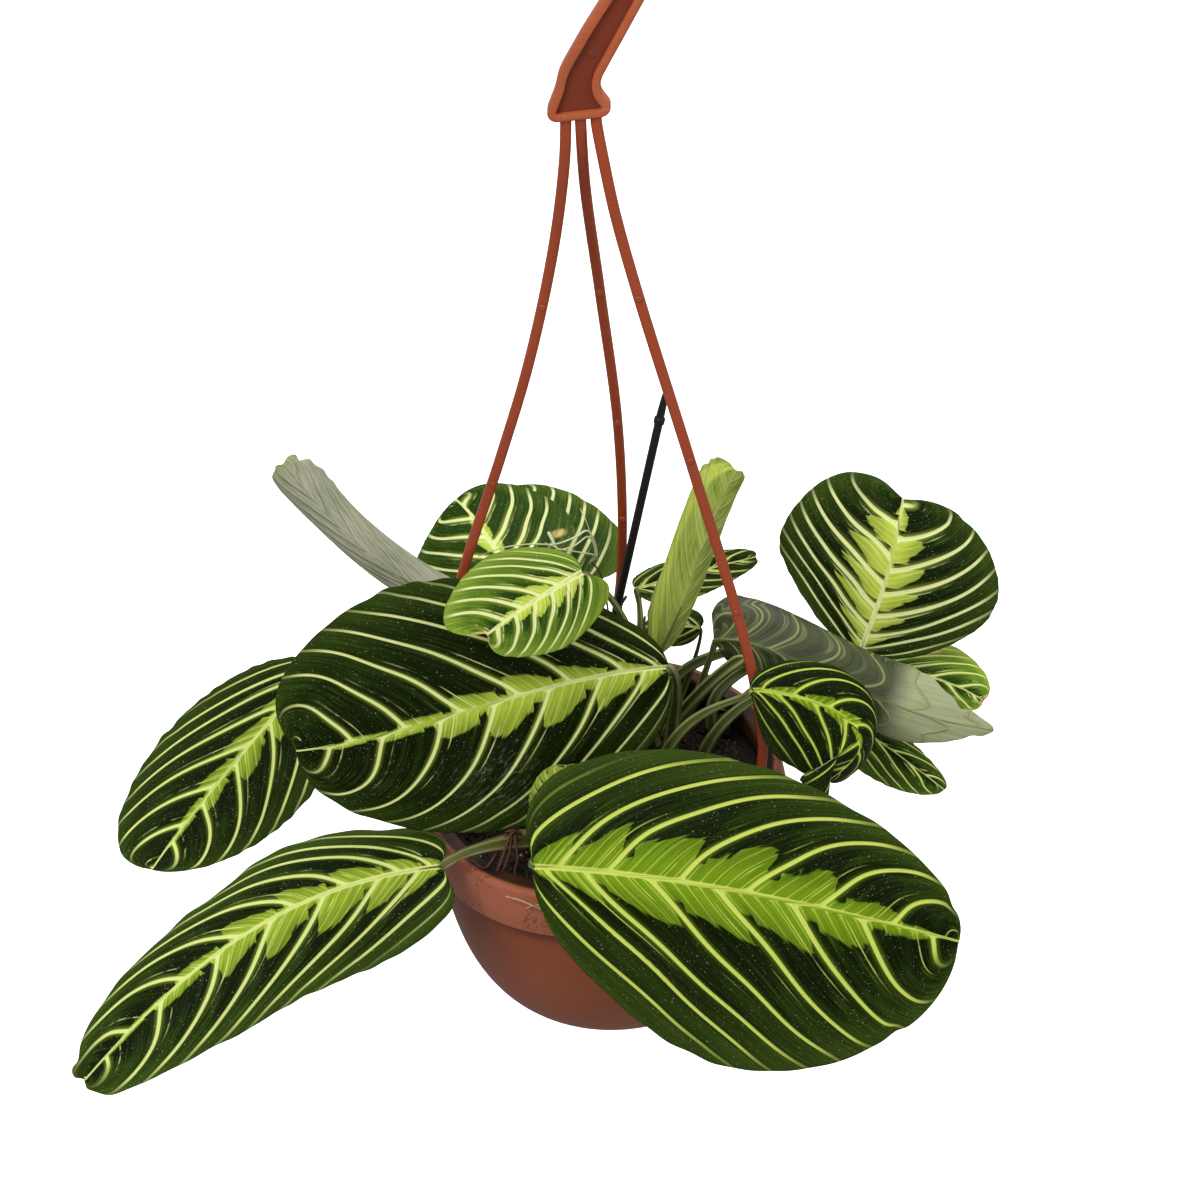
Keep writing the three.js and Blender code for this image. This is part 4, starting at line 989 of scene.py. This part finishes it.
class PLANT_OT_soil(Operator):
    """Make the crowned peat, its crumbs, fibres and pale specks"""
    bl_idname = "plant.soil"
    bl_label = "Soil"

    def execute(self, context):
        edge = float(bowl_radius(np.array(SOIL_TOP))) - SOIL_GAP - 1.8
        z = np.linspace(-POT_HEIGHT + SOIL_GAP, SOIL_TOP - 2.2, 14)
        side = grouped(bowl_radius(z - SOIL_GAP) - SOIL_GAP, z)
        share = np.linspace(1, .012, 60)
        crown = grouped(edge * share, SOIL_TOP + 2 * (1 - share ** 2))
        profile = np.vstack([[(4, -POT_HEIGHT + SOIL_GAP)], side, crown])
        x, y, h = np.moveaxis(spun(profile, 220), -1, 0)
        rough = .8 * self.lumps(x, y) + .6 * ripple(x / 9, y / 9, 3) + .5 * ripple(x / 3.4, y / 3.4, 4)
        h = h + rough * (h > SOIL_TOP - .5) * ease(-profile[:, :1], -edge, -edge + 3)
        body = loops(row(tilted(grouped(x, y, h))))
        piece("soil_fine", [body], [finish("peat")], ["soil"])
        for name, look, *bits in (("soil_crumbs", "crumb", 4200, 5, .35, 1.7),
                                  ("soil_lumps", "peat", 260, 11, 1.6, 3.2),
                                  ("soil_specks", "perlite", 90, 6, .5, 1.2)):
            piece(name, self.crumbs(edge, *bits), [finish(look)])
        piece("soil_fibres", self.fibres(edge, 190), [finish("root")])
        return {"FINISHED"}

    def lumps(self, x, y):
        """Slow rises and dips of the soil's top."""
        return np.sin(.21 * x + 1.3) * np.cos(.19 * y) + .6 * np.sin(.37 * y - .31 * x)

    def ground(self, x, y):
        """The soil's height under a place: the crown and its slow lumps, before the lean."""
        return SOIL_TOP + 2 * (1 - (x * x + y * y) / CROWN_RADIUS ** 2) + .8 * self.lumps(x, y)

    def crumbs(self, edge, count, seed, small, large):
        """Lumps of eight faces: an octahedron's corners, pushed in and out, scattered on the soil."""
        rng = np.random.default_rng(seed)
        a, r = rng.uniform(0, math.tau, count), (edge - 1.5) * np.sqrt(rng.uniform(0, 1, count))
        x, y = r * np.cos(a), r * np.sin(a)
        size = rng.uniform(small, large, count)
        corners = np.array([(1, 0, 0), (0, 1, 0), (-1, 0, 0), (0, -1, 0), (0, 0, .8), (0, 0, -.8)], float)
        shape = corners[None] * rng.uniform(.6, 1.3, (count, 6, 1)) + rng.uniform(-.2, .2, (count, 6, 3))
        points = shape * size[:, None, None] + grouped(x, y, self.ground(x, y) + size * .25)[:, None]
        faces = np.array([(k, (k + 1) % 4, 4) for k in range(4)] + [((k + 1) % 4, k, 5) for k in range(4)])
        tris = (faces[None] + 6 * np.arange(count)[:, None, None]).reshape(-1, 3)
        return [Surface(row(tilted(points)).reshape(-1, 3), np.zeros((0, 4), int), tris)]

    def fibres(self, edge, count):
        """Thin bent threads that lie on the soil."""
        rng = np.random.default_rng(8)
        made = []
        for _ in range(count):
            a, r = rng.uniform(0, TURN), (edge - 8) * math.sqrt(rng.uniform())
            t = np.linspace(-1, 1, 7)
            heading, long, bow = rng.uniform(0, TURN), rng.uniform(2.5, 8), rng.uniform(-3, 3)
            x = r * math.cos(a) + long * t * math.cos(heading) - bow * t * t * math.sin(heading)
            y = r * math.sin(a) + long * t * math.sin(heading) + bow * t * t * math.cos(heading)
            h = self.ground(x, y) + .7 + .6 * np.sin(t * 2 + a)
            made.append(tube(tilted(grouped(x, y, h)), rng.uniform(.1, .24), 4,
                             reference=(.02, .01, 1), round_ends=False, seed=rng.uniform(-.2, .3)))
        return made


class PLANT_OT_hanger(Operator):
    """Make the hook, its web, the three strands and their clips"""
    bl_idname = "plant.hanger"
    bl_label = "Hanger"

    def outline(self):
        """The hook's outer edge in x and z: straight runs, quadratic bends and two round arcs."""
        def bend(a, b, c):
            t = np.linspace(0, 1, 9)[1:, None]
            return (1 - t) ** 2 * a + 2 * t * (1 - t) * b + t * t * c

        at, inner, outer = HOOK_CORNERS, HOOK_INNER, HOOK_INNER + HOOK_BAND
        tip = arc(HOOK_CENTRE, inner + HOOK_BAND / 2, HOOK_TIP, HOOK_TIP, 1)[0]
        neck = arc(HOOK_CENTRE, inner, HOOK_NECK, HOOK_NECK, 1)[0]
        whole = np.vstack([
            at[:2], bend(*at[1:4]), bend(*at[3:6]), at[6:8], bend(*at[7:10]),
            arc(HOOK_CENTRE, outer, 0, HOOK_TIP, 40)[1:],
            arc(tip, HOOK_BAND / 2, HOOK_TIP, HOOK_TIP + 180, 14)[1:],
            arc(HOOK_CENTRE, inner, HOOK_TIP, HOOK_NECK, 34)[1:],
            bend(neck, *at[10:12]), at[12:14], bend(*at[13:16]), at[16:17], bend(*at[16:18], at[0])[:-1]])
        step = lengths(np.vstack([whole, whole[:1]]))
        s = np.linspace(0, step[-1], 230, endpoint=False)
        ring = grouped(*(np.interp(s, step, np.append(whole[:, k], whole[0, k])) for k in (0, 1)))
        for _ in range(2):
            ring = (np.roll(ring, 1, 0) + 2 * ring + np.roll(ring, -1, 0)) / 4
        return ring

    def execute(self, context):
        look = context.scene.pot_look
        ring = self.outline()
        way = unit(np.roll(ring, -1, 0) - np.roll(ring, 1, 0))
        inward = grouped(-way[:, 1], way[:, 0])
        half, wall, soft = look.hook_depth * 500, 3.1, 1.15
        corners = np.vstack([arc((soft, -half + soft), soft, 180, 270, 4),
                             arc((wall - .5, -half + .5), .5, -90, 0, 3),
                             arc((wall - .5, half - .5), .5, 0, 90, 3),
                             arc((soft, half - soft), soft, 90, 180, 4)])
        xz = ring[:, None] + inward[:, None] * corners[None, :, :1]
        # The wall takes slot 1, the finish with painted highlight; the web and its mould marks take slot 2, the
        # finish with painted shade.
        band = loops(row(grouped(xz[..., 0], corners[:, 1], xz[..., 1])), closed=True, capped=False, slot=1)
        surfaces = [band, self.web(ring + inward * 1.6), *self.marks()]
        for side in STRAND_ROUTES:
            surfaces += self.strand(side, look.strand_radius * 1000)
        piece("hanger_fine", surfaces, [finish(key) for key in ("hanger plastic", "hook wall", "hook web")],
              ["hanger"], 40)
        return {"FINISHED"}

    def web(self, edge):
        """The thin plate inside the hook's wall: two flat faces on the same outline, and its edge."""
        mesh = bpy.data.meshes.new("web")
        mesh.from_pydata([(x, 0, z) for x, z in edge.tolist()], [], [list(range(len(edge)))])
        mesh.calc_loop_triangles()
        tris = np.array([t.vertices[:] for t in mesh.loop_triangles])
        bpy.data.meshes.remove(mesh)
        front = grouped(edge[:, 0], -1.2, edge[:, 1])
        n, i = len(edge), np.arange(len(edge))
        j = (i + 1) % n
        return Surface(row(np.vstack([front, front * (1, -1, 1)])), grouped(i, i + n, j + n, j),
                       np.vstack([tris, tris[:, ::-1] + n]), 2)

    def marks(self):
        """Round marks that the mould leaves on the web."""
        made = []
        for x, z, r in ((-3, 328, 1.8), (17, 367, 1.5)):
            for y in (-1, 1):
                path = [(x, y * .6, z), (x, y * 1.35, z), (x, y * 1.5, z)]
                made.append(tube(path, [r, r, r * .8], 20, reference=(0, .01, 1), round_ends=False, slot=2))
        return made

    def strand(self, side, radius):
        """A squarish bar along the strand's route, small buttons left by the mould's pins, and its clip."""
        a = math.radians(STRAND_ANGLES[side])

        def at(h):
            return tilted((STRAND_CIRCLE * math.cos(a), STRAND_CIRCLE * math.sin(a), h))

        path = smooth_path([*STRAND_ROUTES[side], at(12), at(-3.2)], 2.5)
        reference = (0, 1, .02) if side != "back" else (1, 0, .02)
        made = [tube(path, radius * 1.02, 24, reference, ridges=(4, .07, math.pi))]
        for height in STRAND_MARKS[side]:
            x, y, z = path[int(np.argmin(np.abs(path[:, 2] - height)))]
            for way in (-1, 1):
                spot = [(x, y + way * r, z) for r in (radius * .6, radius + .5, radius + .8)]
                made.append(tube(spot, [1.35, 1.35, 1.0], 18, (0, .01, 1), round_ends=False))
        collar = np.stack([at(h) for h in (.35, .6, 1.8, 2.05, 5.5)])
        made.append(tube(collar, [3.1, 3.4, 3.4, 3.1, radius * .95], 24, (0, 1, 0), round_ends=False))
        made.append(self.barb(a))
        return made

    def barb(self, a):
        """The clip's tongue under the ledge: a four-sided wedge that narrows downwards."""
        turn = np.array([[math.cos(a), -math.sin(a)], [math.sin(a), math.cos(a)]])
        u = np.linspace(0, math.tau, 20, endpoint=False)
        c, s = np.cos(u), np.sin(u)
        section = grouped(*(np.sign(k) * np.abs(k) ** .35 * half for k, half in ((c, 1.4), (s, 3.5))))
        rings = []
        for h, size in ((-2.55, .92), (-2.75, 1.0), (-6.4, .5), (-7.0, .38)):
            flat = (section * size) @ turn.T + (STRAND_CIRCLE * math.cos(a), STRAND_CIRCLE * math.sin(a))
            rings.append(grouped(*flat.T, h))
        return loops(row(tilted(np.array(rings))))


class PLANT_OT_stake(Operator):
    """Make the black plant stake with its notch ring"""
    bl_idname = "plant.stake"
    bl_label = "Stake"

    def execute(self, context):
        foot, top = np.array(STAKE, float)
        path, notch = (foot + (top - foot) * np.array(t)[:, None]
                       for t in (np.linspace(0, 1, 60), [.93, .934, .945, .949]))
        radius = np.full(len(path), 1.75)
        radius[-4:] = (1.7, 1.6, 1.45, 1.2)
        piece("stake_fine", [tube(path, radius, 24), tube(notch, [1.6, 2.25, 2.25, 1.6], 24, round_ends=False)],
              [finish("stake plastic")], ["stake"], 40)
        return {"FINISHED"}


class PLANT_OT_leaves(Operator):
    """Make every leaf with its stalk"""
    bl_idname = "plant.leaves"
    bl_label = "Leaves"

    def execute(self, context):
        for number, name in enumerate(LEAVES):
            build_leaf(name, number)
        return {"FINISHED"}


class PLANT_OT_stubs(Operator):
    """Make the cut stalk and the dry bract that stand on the soil"""
    bl_idname = "plant.stubs"
    bl_label = "Cut stalk and bract"

    def execute(self, context):
        for name, stub in STUBS.items():
            x, y = stub["foot"]
            level = soil_height(x)
            t = np.linspace(0, 1, 50)
            route = lagrange([(x, y, level + FOOT_RISE), *stub["path"]], t)
            path = np.vstack([[(x, y, level - FOOT_DEPTH), (x, y, level - 2)], route])
            first, last = stub["radius"]
            radius = np.concatenate([[first] * 2, first + (last - first) * t])
            surfaces = [tube(path, radius, 14, (.3, .9, .3), seed=.45)]
            if name == "stalk_cut":
                radius[-5:] *= (1.02, 1.05, 1.06, 1.02, .9)
                surfaces = [tube(path, radius * 1.12, 28, (-.45, -.6, .7), seed=-.1, groove=.55, flat=.85)]
                surfaces += [tube(path[4:] + np.array(step) * radius[4:, None], .42, 8, (.3, .9, .3), seed=.3)
                             for step in ((-.55, -.2, .75), (.7, -.5, .45))]
            piece(name + "_fine", surfaces, [finish("stalk green")], [name])
        return {"FINISHED"}


class PLANT_OT_litter(Operator):
    """Make the roots, straw, dry stems and the seedling"""
    bl_idname = "plant.litter"
    bl_label = "Roots and dry stems"

    def execute(self, context):
        for name, (look, section, strands) in STRANDS.items():
            piece(name, [taper(*strand, **section) for strand in strands], [finish(look)])
        sprout = [taper([(57, 35, -10), (57, 36, -3), (56, 37.5, 2)], .5, 1, reference=(.1, .9, .2))]
        t = np.linspace(0, 1, 9)[:, None]
        for x, y, z, turn in ((56, 37.5, 2, 2.7), (56, 37.5, 1.6, 4.9), (57, 36.8, 0, 3.6)):
            way = np.array([math.cos(turn), math.sin(turn), .35])
            spine = np.array([x, y, z]) + way * (.2 + 4.8 * t) - (0, 0, 1) * (1.2 * t) ** 2
            wide = 1.7 * np.sin(np.linspace(.12, math.pi - .05, 9)) ** .8 + .08
            sprout.append(tube(spine, wide, 12, (.1, .05, 1), round_ends=False, flat=.12))
        piece("seedling", sprout, [finish("stalk green")])
        return {"FINISHED"}


class PLANT_OT_stage(Operator):
    """Make the pale floor, the soft lights and the camera"""
    bl_idname = "plant.stage"
    bl_label = "Stage"

    def execute(self, context):
        scene, look = context.scene, context.scene.studio_look
        z = -look.floor_drop
        room = loops(spun(np.vstack([[(.6, z)], arc((2.4, z + 1), 1.0, -90, 0, 12), [(3.4, 3.5)]]), 64))
        room.quads, room.tris = room.quads[:, ::-1], room.tris[:, ::-1]
        floor = in_scene("floor", new_mesh("floor", room))
        floor.visible_diffuse = floor.visible_glossy = floor.visible_shadow = False
        paper = Finish("floor paper", rough=.9, Emission_Color=(1, 1, 1, 1), Emission_Strength=look.floor_glow)
        floor.data.materials.append(paper.paint(Base_Color=paper.mix((250, 250, 250), (244, 244, 244),
                                                                     paper.noise(8, 2))))
        for name, spot, width, share in LIGHTS:
            lamp = bpy.data.lights.new(name, "AREA")
            lamp.shape, lamp.size, lamp.energy = "DISK", width, look.key_power * share
            light = in_scene(name, lamp)
            light.location = spot
            x, y, z = np.subtract(spot, LIT_PLACE)
            light.rotation_euler = (math.atan2(math.hypot(x, y), z), 0, math.atan2(x, -y))
        scene.world = bpy.data.worlds.new("studio")
        scene.world.use_nodes = True
        colour_of_room, strength = scene.world.node_tree.nodes["Background"].inputs[:2]
        colour_of_room.default_value, strength.default_value = (1, 1, 1, 1), look.room_glow
        scene.view_settings.view_transform = "Standard"
        lens = bpy.data.cameras.new("camera")
        lens.sensor_width, lens.lens = 36.0, look.lens
        scene.camera = in_scene("camera", lens)
        scene.camera.location = CAMERA_PLACE
        scene.camera.rotation_euler = (math.radians(CAMERA_TURN), 0, 0)
        return {"FINISHED"}


# ---------------------------------------------------------------- the panel's values

def colour(name, text, r, g, b):
    """A colour property whose default is a screen colour."""
    return bpy.props.FloatVectorProperty(name=name, description=text, subtype="COLOR", size=3, min=0, max=1,
                                         default=linear(r, g, b)[:3])


def number(name, text, default, **kind):
    """A number property with its unit or its subtype."""
    return bpy.props.FloatProperty(name=name, description=text, default=default, **kind)


class PlantLook(bpy.types.PropertyGroup):
    dark: colour("Dark green", "Between the veins, away from the midrib", 13, 23, 3)
    middle: colour("Mid green", "Towards the leaf's edge", 46, 68, 14)
    band: colour("Lime band", "The toothed band along the midrib", 118, 152, 22)
    vein: colour("Veins", "Midrib and main veins", 206, 222, 92)
    silver: colour("Underside", "The lower face of the leaves", 172, 172, 146)


class PotLook(bpy.types.PropertyGroup):
    pot: colour("Pot", "The pot's plastic", 138, 72, 42)
    hanger: colour("Hanger", "The hanger's plastic", 158, 70, 40)
    wall: number("Wall", "Thickness of the pot's wall", .0022, unit="LENGTH")
    hook_depth: number("Hook depth", "Front to back size of the hook's wall", .0064, unit="LENGTH")
    strand_radius: number("Strand radius", "Half the strand's thickness", .00215, unit="LENGTH")


class StudioLook(bpy.types.PropertyGroup):
    key_power: number("Key light", "Power of the main light", 27.0, unit="POWER")
    room_glow: number("Room glow", "Light from all round", .42)
    floor_glow: number("Floor glow", "Light given by the floor", .8)
    floor_drop: number("Floor depth", "Floor below the hook", .62, unit="LENGTH")
    lens: number("Lens", "Focal length", 69.69, subtype="DISTANCE_CAMERA")


STEPS = (PLANT_OT_stage, PLANT_OT_pot, PLANT_OT_soil, PLANT_OT_hanger, PLANT_OT_stake, PLANT_OT_leaves,
         PLANT_OT_stubs, PLANT_OT_litter)


class PLANT_PT_panel(bpy.types.Panel):
    """The plant's steps and their values"""
    bl_idname = "PLANT_PT_panel"
    bl_label = "Hanging prayer plant"
    bl_space_type = "VIEW_3D"
    bl_region_type = "UI"
    bl_category = "Plant"

    def draw(self, context):
        for group in (context.scene.plant_look, context.scene.pot_look, context.scene.studio_look):
            box = self.layout.box()
            for key in group.__annotations__:
                box.prop(group, key)
        for step in STEPS:
            self.layout.operator(step.bl_idname)


CLASSES = (PlantLook, PotLook, StudioLook, *STEPS, PLANT_PT_panel)


def register():
    for cls in CLASSES:
        bpy.utils.register_class(cls)
    bpy.types.Scene.plant_look = bpy.props.PointerProperty(type=PlantLook)
    bpy.types.Scene.pot_look = bpy.props.PointerProperty(type=PotLook)
    bpy.types.Scene.studio_look = bpy.props.PointerProperty(type=StudioLook)


def unregister():
    del bpy.types.Scene.plant_look, bpy.types.Scene.pot_look, bpy.types.Scene.studio_look
    for cls in reversed(CLASSES):
        bpy.utils.unregister_class(cls)


def main():
    register()
    for step in STEPS:
        group, name = step.bl_idname.split(".")
        getattr(getattr(bpy.ops, group), name)()
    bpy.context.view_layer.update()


if __name__ == "__main__":
    main()
